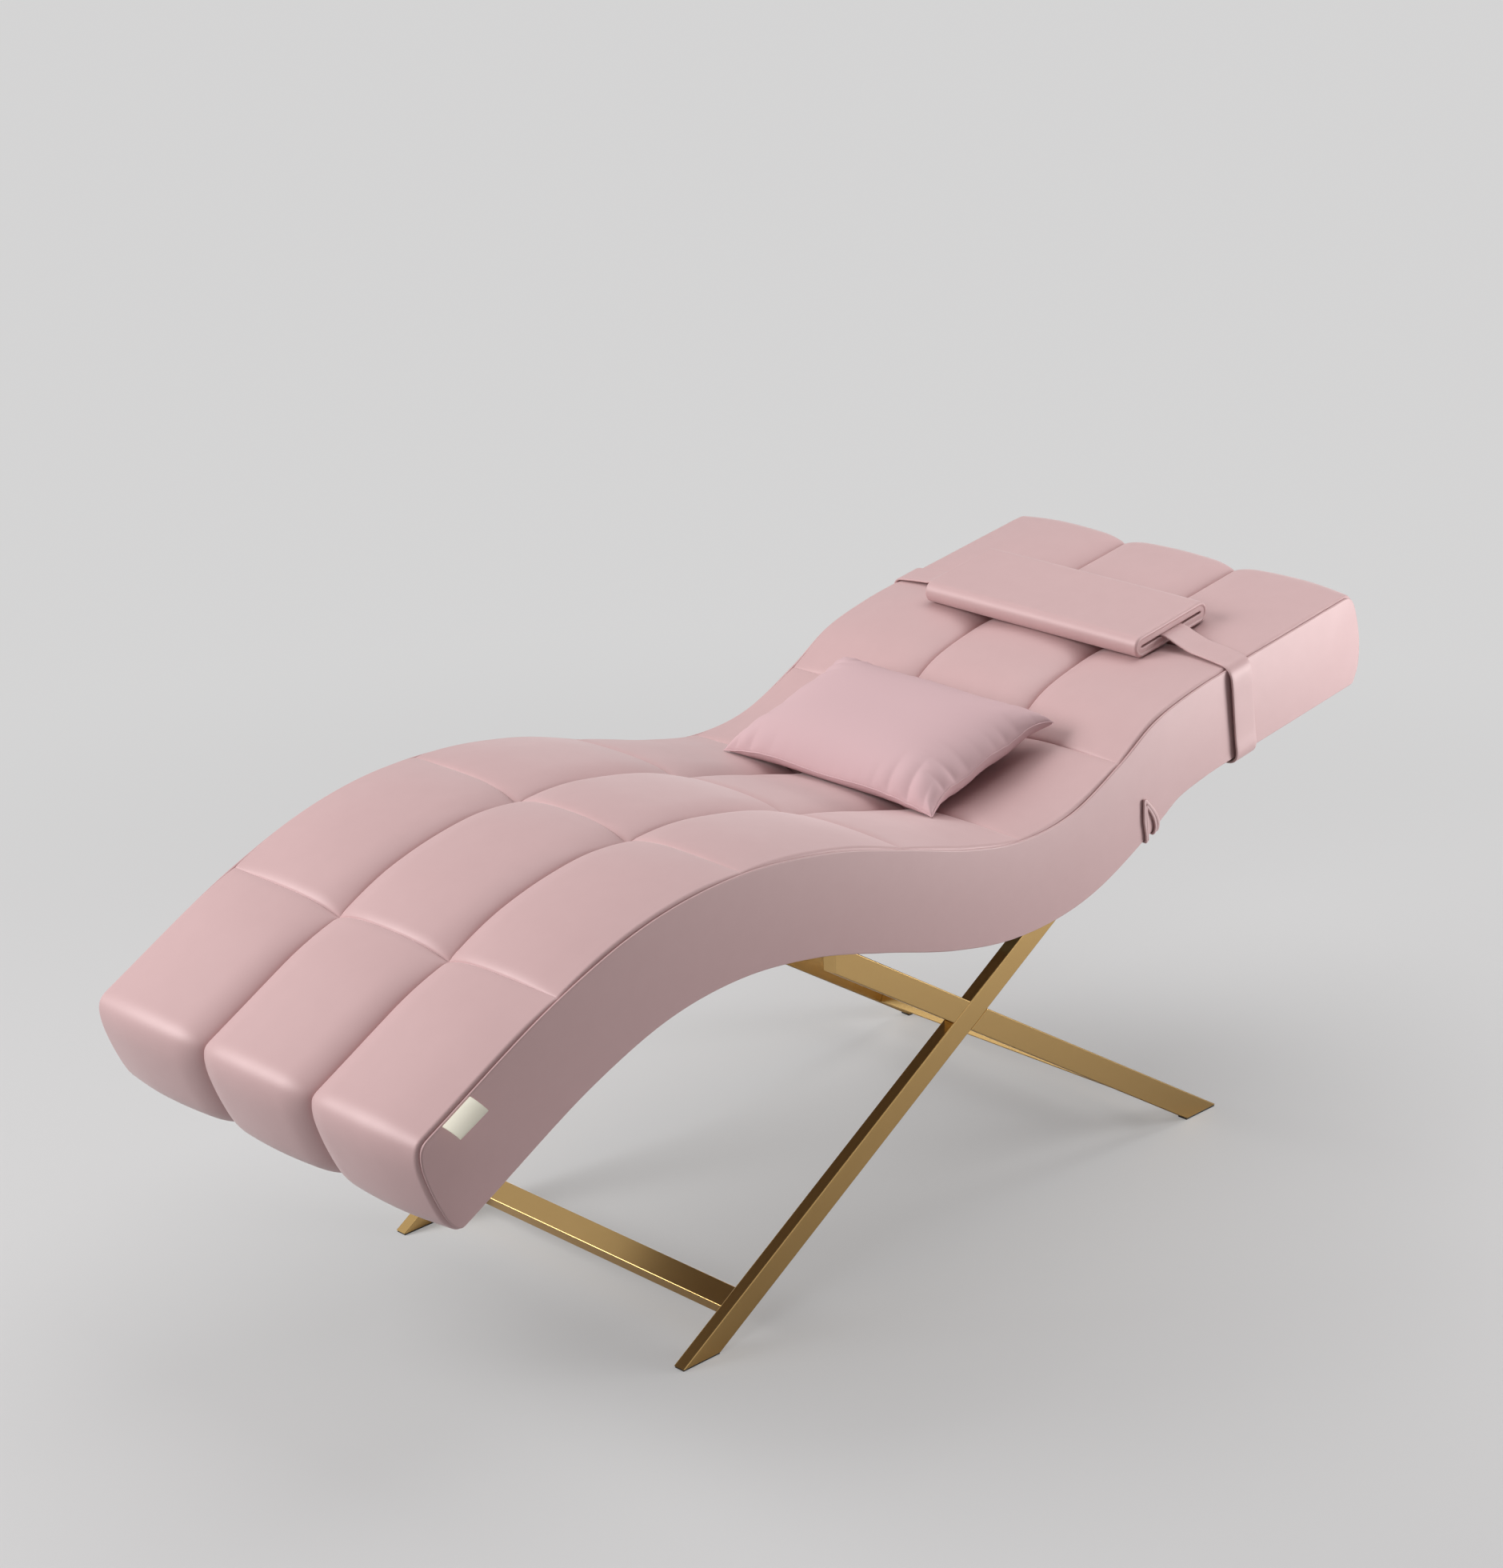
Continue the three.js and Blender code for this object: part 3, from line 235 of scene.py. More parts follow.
def clustered(low: float, high: float, count: int, pull: float) -> np.ndarray:
    """Places from low to high that crowd towards both ends: an even spacing less a sine of strength pull."""
    share = np.linspace(0, 1, count)
    return low + (high - low) * (share - pull * np.sin(2 * math.pi * share) / (2 * math.pi))


def round_rise(distance: np.ndarray, radius: np.ndarray | float) -> np.ndarray:
    """Quarter of an ellipse: 0 and upright at distance 0, then 1 and level from radius on."""
    share = np.clip(distance / radius, 0, 1)
    return np.sqrt(np.clip(1 - (1 - share) ** 2, 0, 1))


def broad_rise(distance: np.ndarray, reach: float) -> np.ndarray:
    """Quarter of a sine wave: 0 at distance 0, then 1 and level from reach on."""
    return np.sin(QUARTER_TURN * np.clip(distance / reach, 0, 1))


def blend(start: np.ndarray | float, end: np.ndarray | float, share: np.ndarray) -> np.ndarray:
    """Value that goes from start to end as share goes from 0 to 1."""
    return start + (end - start) * share


@dataclass
class Wave:
    """Side view of the body, and the way from distance along the seam line and height to X and Z.

    The outline is the foot end, the top and the head end as one line.
    """

    length: float = 1837 * MM
    seam_height: float = 763 * MM
    floor_gap: float = 3 * MM
    depth: float = 145 * MM
    half_width: float = 325 * MM
    foot_x: float = -930.649 * MM
    hem_up: float = 5 * MM
    foot_bulge: float = 21.5 * MM
    head_bulge: float = 18 * MM
    rounding: float = 7 * MM
    line_samples: int = 200
    end_samples: int = 30
    seam_line_shares: tuple = (
        (0, 0.651), (0.124, 0.807), (0.2115, 0.8795), (0.298, 0.9015), (0.386, 0.8795), (0.463, 0.8325),
        (0.537, 0.782), (0.594, 0.7605), (0.6515, 0.7735), (0.7085, 0.834), (0.751, 0.892), (0.7985, 0.9245),
        (0.848, 0.945), (0.924, 0.9725), (1, 1))
    cross_seam_shares: tuple = (0.124, 0.298, 0.463, 0.594, 0.7085, 0.853)
    foot_end_shares: tuple = (
        (-0.64, 0.05), (-0.9, 0.144), (-1, 0.25), (-0.96, 0.53), (-0.71, 0.81), (-0.3, 0.953), (0, 1))
    head_end_shares: tuple = (
        (-0.2, 0.05), (0.46, 0.13), (0.81, 0.276), (1, 0.49), (0.77, 0.76), (0.42, 0.92), (0, 1))
    foot_turn_mm: tuple = ((13.0, 0.9), (-6.0, 0.4), (-13.0, -1.8))
    head_turn_mm: tuple = ((-8.0, 1.2), (-14.5, 0.9))

    def __post_init__(self) -> None:
        """Works out the tables of the seam line and of the body's outline."""
        self.line = catmull_rom(np.array(self.seam_line_shares) * [self.length, self.seam_height]
                                + [self.foot_x, self.floor_gap], self.line_samples, 0.5)
        self.line_travel = travelled(self.line)
        self.total = float(self.line_travel[-1])
        self.line_tangent = unit(np.gradient(self.line, axis=0))
        self._make_outline()

    def _make_outline(self) -> None:
        """Makes the outline as distance along and height, with its corners rounded.

        The line starts and ends turned in under the body. It is evenly spaced every millimetre, and a
        bell-shaped mean of width rounding goes over it.
        """
        foot = self._end(self.foot_end_shares, self.foot_bulge, 0.0)
        head = self._end(self.head_end_shares, self.head_bulge, self.total)[::-1]
        line = np.vstack([np.array(self.foot_turn_mm) * MM, foot, [[self.total / 2, self.depth]], head,
                          np.array(self.head_turn_mm) * MM + [self.total, 0]])
        even = respaced(line, int(travelled(line)[-1] / MM))
        reach = int(3 * self.rounding / MM)
        weights = np.exp(-0.5 * (np.arange(-reach, reach + 1) * MM / self.rounding) ** 2)
        weights /= weights.sum()
        longer = np.vstack([2 * even[0] - even[reach:0:-1], even, 2 * even[-1] - even[-2:-reach - 2:-1]])
        self.outline = np.stack([np.convolve(longer[:, k], weights, "valid") for k in range(2)], axis=1)
        self.outline_travel = travelled(self.outline)
        self.outline_total = float(self.outline_travel[-1])
        slope = unit(np.gradient(self.outline, axis=0))
        self.outline_normal = slope[:, ::-1] * MIRRORED
        middle = len(self.outline) // 2
        self.seam_start = float(self.outline_travel[middle] - self.outline[middle, 0])

    def _end(self, shares: tuple, bulge: float, start: float) -> np.ndarray:
        """Curve of one end from the underside up, as distance along and height."""
        share = np.array(shares)
        room = (self.depth - self.hem_up) / (1 - share[0, 1])
        points = (share - [0, share[0, 1]]) * [bulge, room] + [start, self.hem_up]
        return catmull_rom(points, self.end_samples, 0.0)

    def place(self, along: np.ndarray, up: np.ndarray) -> tuple[np.ndarray, np.ndarray]:
        """X and Z of a point: on the seam line, then past its end, then up square to it.

        Args:
            along: distance along the seam line from the foot.
            up: height above the underside.

        Returns:
            X and Z.
        """
        inside = np.clip(along, 0, self.total)
        past = along - inside
        rise = up - self.depth
        x, z, tx, tz = (np.interp(inside, self.line_travel, values)
                        for values in (*self.line.T, *self.line_tangent.T))
        return x + tx * past - tz * rise, z + tz * past + tx * rise

    def points(self, along: np.ndarray, up: np.ndarray, y: np.ndarray | float) -> np.ndarray:
        """Points of the bed's frame at distances along, heights and Y."""
        x, z = self.place(along, up)
        return np.stack(np.broadcast_arrays(x, y, z), axis=-1)

    def tangent(self, along: float) -> np.ndarray:
        """Direction of the seam line at a distance along it, in X and Z."""
        return unit(np.array([np.interp(along, self.line_travel, values) for values in self.line_tangent.T]))

    def along_at(self, x: np.ndarray | float, up: float) -> np.ndarray:
        """Distance along at which a point of this height has this X."""
        xs, _ = self.place(self.line_travel, np.full(len(self.line_travel), up))
        return np.interp(x, xs, self.line_travel)

    def at_outline(self, travel: np.ndarray) -> tuple[np.ndarray, ...]:
        """Distance along, height, and outward direction of the outline at a distance travelled round it."""
        return tuple(np.interp(travel, self.outline_travel, values)
                     for values in (*self.outline.T, *self.outline_normal.T))

    def off_outline(self, travel: np.ndarray, height: np.ndarray | float,
                    y: np.ndarray | float) -> np.ndarray:
        """Points that stand square off the outline.

        Args:
            travel: distances travelled round the outline.
            height: distance outwards from it, with a row for each travel or one row for all.
            y: place across the bed.

        Returns:
            Points by travel, by column and by coordinate.
        """
        along, up, out, rise = (values[:, None] for values in self.at_outline(travel))
        return self.points(along + out * height, up + rise * height, y)

    def seam_travels(self) -> np.ndarray:
        """Distances round the outline at which the cross seams lie."""
        x = self.foot_x + np.array(self.cross_seam_shares) * self.length
        return self.along_at(x, self.depth) + self.seam_start


@dataclass
class Quilt:
    """Quilted cover: three columns, sewn down along six cross seams and two long seams."""

    wave: Wave
    half: float = 320.6 * MM
    seam_y: float = 108.3 * MM
    crown: float = 12 * MM
    shoulder: float = 3 * MM
    shoulder_reach: float = 95 * MM
    edge_height: float = -1.6 * MM
    end_height: float = -3.4 * MM
    edge_corner: float = -4 * MM
    hem_reach: float = 280 * MM
    foot_hem_reach: float = 75 * MM
    skirt: float = 15 * MM
    thickness: float = 18 * MM
    inner_inset: float = 4 * MM
    cross_height: float = -0.5 * MM
    cross_radius: float = 16 * MM
    cross_broad_share: float = 0.62
    cross_reach: float = 105 * MM
    long_radius: float = 46 * MM
    long_broad_share: float = 0.3
    pinch_reach: float = 100 * MM
    pinch_power: float = 2.3
    edge_radius: float = 4.5 * MM
    end_radius: float = 7 * MM
    corner_depths_mm: tuple = (15, 19, 19, 11, 12, 16, 15, 8)
    long_depths_mm: tuple = (13, 12, 11, 8, 8.5, 12, 9.5, 6)
    row_counts: tuple = (118, 66, 64, 56, 54, 62, 104)
    row_pulls: tuple = (0.6, 0.88, 0.88, 0.88, 0.88, 0.88, 0.6)
    column_count: int = 54
    column_pull: float = 0.9

    def __post_init__(self) -> None:
        """Lists the seams round the outline, with the hems at its ends."""
        self.stops = np.concatenate([[0.0], self.wave.seam_travels(), [self.wave.outline_total]])

    def height(self, travel: np.ndarray, y: np.ndarray) -> np.ndarray:
        """Height of the surface over the outline.

        Along a cross seam the height climbs from the pinched corner to the middle of the seam by a power
        curve. Half way between cross seams it climbs from the long seam to the crown, part quarter
        ellipse and part quarter sine. A rise of the same kind along the bed blends the two. The crown
        falls to a shoulder towards the outer edges, where the surface rolls down by another quarter
        ellipse, and at the hems it fades out.

        Args:
            travel: distance round the outline, as a column.
            y: place across the bed, as a row.

        Returns:
            Heights on the grid.
        """
        to_cross = np.abs(travel[..., None] - self.stops[1:-1]).min(axis=-1)
        along_rise = blend(round_rise(to_cross, self.cross_radius), broad_rise(to_cross, self.cross_reach),
                           self.cross_broad_share)
        to_long = np.abs(np.abs(y) - self.seam_y)
        across_rise = blend(round_rise(to_long, self.long_radius), broad_rise(to_long, self.seam_y),
                            self.long_broad_share)
        corner, long_seam = (-np.interp(travel, self.stops, np.array(depths) * MM)
                             for depths in (self.corner_depths_mm, self.long_depths_mm))
        pinch_rise = 1 - (1 - np.clip(to_long / self.pinch_reach, 0, 1)) ** self.pinch_power
        at_cross = blend(corner, self.cross_height, pinch_rise)
        to_edge = self.half - np.abs(y)
        crown = blend(self.shoulder, self.crown, broad_rise(to_edge, self.shoulder_reach))
        field_height = blend(at_cross, blend(long_seam, crown, across_rise), along_rise)
        at_end = 1 - np.clip(self.wave.at_outline(travel)[3], 0, 1)
        edge_height = blend(self.edge_height, self.end_height, at_end)
        edge_radius = blend(self.edge_radius, self.end_radius, at_end)
        edge = blend(self.edge_corner, edge_height, along_rise)
        rolled = blend(edge, field_height, round_rise(to_edge, edge_radius))
        to_hem = np.minimum(travel / self.foot_hem_reach, (self.stops[-1] - travel) / self.hem_reach)
        return rolled * broad_rise(to_hem, 1.0)

    def surface(self, travel: np.ndarray, y: np.ndarray) -> np.ndarray:
        """Points of the cover's face, by distance round the outline, by Y and by coordinate."""
        return self.wave.off_outline(travel, self.height(travel[:, None], y[None, :]), y)

    def top_at(self, x: np.ndarray, y: np.ndarray) -> np.ndarray:
        """Height over the floor of the quilted top under points in plan.

        The distance along is found from X, then found again with the quilting's lean taken off.

        Args:
            x: X of the points.
            y: Y of the points.

        Returns:
            Z of the cover there.
        """
        along = self.wave.along_at(x, self.wave.depth)
        z = np.zeros_like(x)
        for _ in range(3):
            at_x, z = self.wave.place(along, self.wave.depth + self.height(along + self.wave.seam_start, y))
            along = along + (x - at_x)
        return z

    def spread(self, stops: np.ndarray, counts: tuple, pulls: tuple) -> np.ndarray:
        """Places from the first stop to the last, crowded at each stop."""
        spans = [clustered(low, high, count, pull)[:-1]
                 for low, high, count, pull in zip(stops[:-1], stops[1:], counts, pulls)]
        return np.concatenate([*spans, stops[-1:]])

    def build(self) -> bpy.types.Object:
        """Makes the cover as one closed sheet: the quilted face, a skirt down each side, the inner face."""
        travel = self.spread(self.stops, self.row_counts, self.row_pulls)
        y = self.spread(np.array([-self.half, -self.seam_y, self.seam_y, self.half]),
                        (self.column_count,) * 3, (self.column_pull,) * 3)
        edge = self.height(travel[:, None], np.array([[self.half]]))
        heights = blend(edge, -self.skirt, np.linspace(0, 1, 5)[1:])
        far = self.wave.off_outline(travel, heights, self.half)
        near = far[:, ::-1] * [1, -1, 1]
        inner_half = self.half - self.inner_inset
        inner = self.wave.off_outline(travel, -self.thickness, np.array([inner_half, 0, -inner_half]))
        rings = np.concatenate([near, self.surface(travel, y), far, inner], axis=1)
        cover = ring_object("quilted_cover_skin", rings, Border.CAPPED)
        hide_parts("quilted_cover")
        return cover


@dataclass
class SidePanels:
    """Plain side panels, the fine cord in the seam over them, and the lining under the body."""

    wave: Wave
    inset: float = 0.5 * MM
    corner_inset: float = 0.8 * MM
    inset_reach: float = 70 * MM
    foot_start: float = 20 * MM
    head_start: float = 15 * MM
    lower_up: float = 1.4 * MM
    least_depth: float = 0.6 * MM
    inner_y: float = 321 * MM
    outer_y: float = 325 * MM
    edge_radius: float = 2.2 * MM
    columns: int = 560
    cord_radius: float = 1.0 * MM
    cord_y: float = 322.2 * MM
    cord_sunk: float = 1.4 * MM
    cord_foot: float = 30 * MM
    cord_head: float = 26 * MM
    cord_rings: int = 700
    lining_half: float = 320.4 * MM
    lining_thickness: float = 4.7 * MM
    lining_gap: float = 0.1 * MM
    lining_end: float = 16 * MM
    lining_rings: int = 420

    def _loop(self) -> np.ndarray:
        """Outline of a panel as distance along and height, a closed line that comes back along the top.

        The panel stands inside the cover's rim by an inset that changes towards its lower corners. The
        corners are rounded by repeated means of each point and its neighbours.
        """
        travel = np.linspace(self.foot_start, self.wave.outline_total - self.head_start, self.columns)
        along, up, out, rise = self.wave.at_outline(travel)
        to_end = np.minimum(travel - travel[0], travel[-1] - travel)
        inset = blend(self.corner_inset, self.inset, broad_rise(to_end, self.inset_reach))
        upper = np.stack([along - out * inset, up - rise * inset], axis=1)
        upper[:, 1] = np.maximum(upper[:, 1], self.lower_up + self.least_depth)
        lower = np.stack([np.linspace(upper[0, 0], upper[-1, 0], self.columns),
                          np.full(self.columns, self.lower_up)], axis=1)
        loop = np.vstack([lower, upper[::-1]])
        for _ in range(3):
            loop = (np.roll(loop, 1, axis=0) + 2 * loop + np.roll(loop, -1, axis=0)) / 4
        return loop

    def build_panel(self, side: str, sign: float) -> bpy.types.Object:
        """Makes one panel: its closed outline carried outwards with both edges rounded, and filled.

        Args:
            side: near or far.
            sign: which way the side lies along Y.

        Returns:
            The panel.
        """
        loop = self._loop()
        inward = loop_slope(loop)[:, ::-1] * MIRRORED
        back_radius = self.outer_y - self.inner_y - self.edge_radius
        back = np.linspace(0, QUARTER_TURN, 4)[:-1]
        front = np.linspace(0, QUARTER_TURN, 7)
        drawn_in = np.concatenate([back_radius * (1 - np.sin(back)), self.edge_radius * (1 - np.cos(front))])
        out_y = self.inner_y + np.concatenate([back_radius * (1 - np.cos(back)),
                                               back_radius + self.edge_radius * np.sin(front)])
        points = loop + inward * drawn_in[:, None, None]
        rings = self.wave.points(points[..., 0], points[..., 1], sign * out_y[:, None])
        count, size = rings.shape[:2]
        quads, _ = grid_faces(count, size, Border.OPEN)
        low = np.arange(self.columns - 1)
        high = size - 1 - low
        ladder = np.stack([low, low + 1, high - 1, high], axis=1)
        faces = np.vstack([quads, ladder[:, ::-1], ladder + (count - 1) * size])
        panel = mesh_object(f"side_panel_{side}_skin", rings.reshape(-1, 3), faces, sharp=SHARP)
        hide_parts(f"side_panel_{side}")
        return panel

    def build_cord(self, side: str, sign: float) -> bpy.types.Object:
        """Makes the fine cord in the groove over a panel: a circle carried along the outline."""
        travel = np.linspace(self.cord_foot, self.wave.outline_total - self.cord_head, self.cord_rings)
        cos, sin = circle(8)
        rings = self.wave.off_outline(travel, self.cord_radius * cos - self.inset - self.cord_sunk,
                                      sign * (self.cord_y + self.cord_radius * sin))
        cord = ring_object(f"seam_cord_{side}", rings, Border.CAPPED)
        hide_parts(f"welt_{side}")
        return cord

    def build_lining(self) -> bpy.types.Object:
        """Makes the lining: a flat rounded section across the bed, carried along the underside."""
        along = np.linspace(self.lining_end, self.wave.total - self.lining_end, self.lining_rings)
        half = self.lining_thickness / 2 - self.lining_gap
        side, across, rise = half_round_bar(7, 0)
        rings = self.wave.points(along[:, None], half * rise + half + self.lining_gap,
                                 side * (self.lining_half - half) + across * half)
        lining = ring_object("underside_lining_skin", rings, Border.CAPPED)
        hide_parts("underside_lining")
        return lining


@dataclass
class Headrest:
    """Flat pad with a slit through it, and the strap that goes through the slit and round the body."""

    wave: Wave
    quilt: Quilt
    pad_half_length: float = 207.5 * MM
    pad_half_width: float = 84 * MM
    pad_half_height: float = 16.5 * MM
    pad_bulge: float = 0.035
    pad_crown: float = 0.03
    rim_radius: float = 4.2 * MM
    rim_lip: float = 1.1 * MM
    rim_fall: float = 1.7 * MM
    slit_half_width: float = 70 * MM
    slit_half_height: float = 2.1 * MM
    strap_half_width: float = 23.5 * MM
    strap_half_thickness: float = 1.8 * MM
    strap_clearance: float = 0.9 * MM
    strap_corner: float = 327 * MM
    strap_under: float = -152 * MM
    strap_in_pad_mm: tuple = ((0, 0), (120, 0), (195, 0), (214, -1))
    strap_leaves_mm: float = 233
    strap_on_top_mm: tuple = (252, 312)
    strap_turn_mm: tuple = ((320, -1.5), (326.5, -6), (330.8, -14), (332.2, -26))
    strap_down_mm: tuple = ((332, -60), (331.3, -110), (330.4, -141))
    lap_drop: float = 4.8 * MM
    lap_half: float = 45 * MM
    strap_rings: int = 620
    strap_means: int = 10
    place_share: float = 0.8505
    slide_down: float = 20 * MM
    slide_up: float = 170 * MM

    def __post_init__(self) -> None:
        """Finds the straight head section's plane and the pad's middle over it."""
        x = self.wave.foot_x + self.place_share * self.wave.length
        self.along = float(self.wave.along_at(x, self.wave.depth))
        self.tangent = self.wave.tangent(self.along)
        self.origin = tuple(float(value) for value in self.wave.place(np.array(self.along), self.wave.depth))
        corners = np.array([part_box(f"headrest_pad_{half}") for half in ("upper", "lower")])
        centre = (corners[:, 0].min(axis=0) + corners[:, 1].max(axis=0)) / 2
        self.pad_up = self.over_section(centre)

    def over_section(self, points: np.ndarray) -> np.ndarray:
        """Height of points over the section's plane, square to it."""
        tx, tz = self.tangent
        return (points[..., 2] - self.origin[1]) * tx - (points[..., 0] - self.origin[0]) * tz

    def to_bed(self, along: np.ndarray, y: np.ndarray, up: np.ndarray) -> np.ndarray:
        """Points given along the head section, across the bed and square to it, in the bed's frame."""
        tx, tz = self.tangent
        x = self.origin[0] + tx * along - tz * up
        z = self.origin[1] + tz * along + tx * up
        return np.stack(np.broadcast_arrays(x, y, z), axis=-1)

    def build_pad(self) -> bpy.types.Object:
        """Makes the pad as a ring of loops: along the outside, over a rounded rim, into the slit and through.

        Each loop is a rectangle with half-round ends. A station holds its Y, its flat half width and its
        radius.
        """
        length, radius = self.pad_half_length, self.pad_half_height
        outer, slit = self.pad_half_width - radius, self.slit_half_width - self.slit_half_height
        body_end = length - self.rim_radius - 0.3 * MM
        body = [(y, outer, radius) for y in clustered(-body_end, body_end, 40, 0.5)]
        end = [(length - self.rim_radius * (1 - math.sin(angle)), outer,
                radius - self.rim_radius * (1 - math.cos(angle)))
               for angle in np.linspace(0, QUARTER_TURN, 9)]
        rim = radius - self.rim_radius
        low_rim, face_y = rim - self.rim_fall, length - self.rim_lip
        end += [(length - 0.45 * self.rim_lip, outer, rim - 0.9 * MM), (face_y, outer, low_rim)]
        end += [(face_y, blend(outer, slit, share), blend(low_rim, self.slit_half_height, share))
                for share in np.linspace(0.12, 0.93, 6)]
        end += [(face_y - 0.3 * MM, slit, self.slit_half_height),
                (face_y - 1.5 * MM, slit, self.slit_half_height - 0.2 * MM)]
        stations = np.array(body + end + [(-y, flat, radius) for y, flat, radius in reversed(end)])
        y, flats, radii = stations.T[..., None]
        side, across, rise = half_round_bar(31, 32)
        along = flats * side + radii * across
        bulge = 1 + self.pad_bulge * (1 - np.clip(np.abs(y) / length, 0, 1) ** 2) * (radii > rim + 1 * MM)
        crown = 1 + self.pad_crown * (1 - (along / self.pad_half_width) ** 2)
        up = self.pad_up + radii * rise * np.where(radii > rim, bulge * crown, 1.0)
        pad = ring_object("headrest_pad", self.to_bed(along, y, up), Border.LOOPED)
        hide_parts("headrest_pad_upper", "headrest_pad_lower")
        return pad

    def swept_height(self, y: np.ndarray) -> np.ndarray:
        """Most that the quilting stands over the section's plane at each y, wherever the strap passes."""
        low = self.along - self.slide_down - self.strap_half_width
        high = min(self.along + self.slide_up + self.strap_half_width, self.wave.total)
        travel = np.linspace(low, high, 80) + self.wave.seam_start
        return self.over_section(self.quilt.surface(travel, y)).max(axis=0)

    def strap_line(self) -> np.ndarray:
        """Middle line of the strap as Y and height: from the lap under the body round both sides and back.

        Repeated means of each point and its neighbours round its corners.
        """
        y = np.linspace(*self.strap_on_top_mm, 9) * MM
        over = self.swept_height(y) + self.strap_half_thickness + self.strap_clearance
        half = np.vstack([
            np.array(self.strap_in_pad_mm) * MM + [0, self.pad_up],
            [[self.strap_leaves_mm * MM, (self.pad_up + over[0]) / 2]],
            np.stack([y, over], axis=1)[1:],
            np.array(self.strap_turn_mm) * MM + [0, over[-1]],
            np.array(self.strap_down_mm) * MM])
        lap = np.array([[self.strap_corner - 6 * MM, 1.2 * MM], [self.strap_corner - 45 * MM, 0],
                        [-self.lap_half, 0]])
        line = np.vstack([lap[::-1] * MIRRORED + [0, self.strap_under], half[:0:-1] * MIRRORED, half,
                          lap + [0, self.strap_under - self.lap_drop]])
        even = respaced(catmull_rom(line, 24, 0.5), 2 * self.strap_rings)
        for _ in range(self.strap_means):
            even[1:-1] = (even[:-2] + 2 * even[1:-1] + even[2:]) / 4
        return respaced(even, self.strap_rings)

    def build_strap(self) -> bpy.types.Object:
        """Makes the strap: a flat section with rounded edges carried along its line."""
        line = self.strap_line()
        slope = unit(np.gradient(line, axis=0))
        thick = self.strap_half_thickness
        side, across, rise = half_round_bar(7, 7)
        along = side * (self.strap_half_width - thick) + across * thick
        y = line[:, :1] - slope[:, 1:] * rise * thick
        up = line[:, 1:] + slope[:, :1] * rise * thick
        strap = ring_object("headrest_strap_band", self.to_bed(along, y, up), Border.CAPPED, SHARP)
        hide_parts("headrest_strap")
        return strap


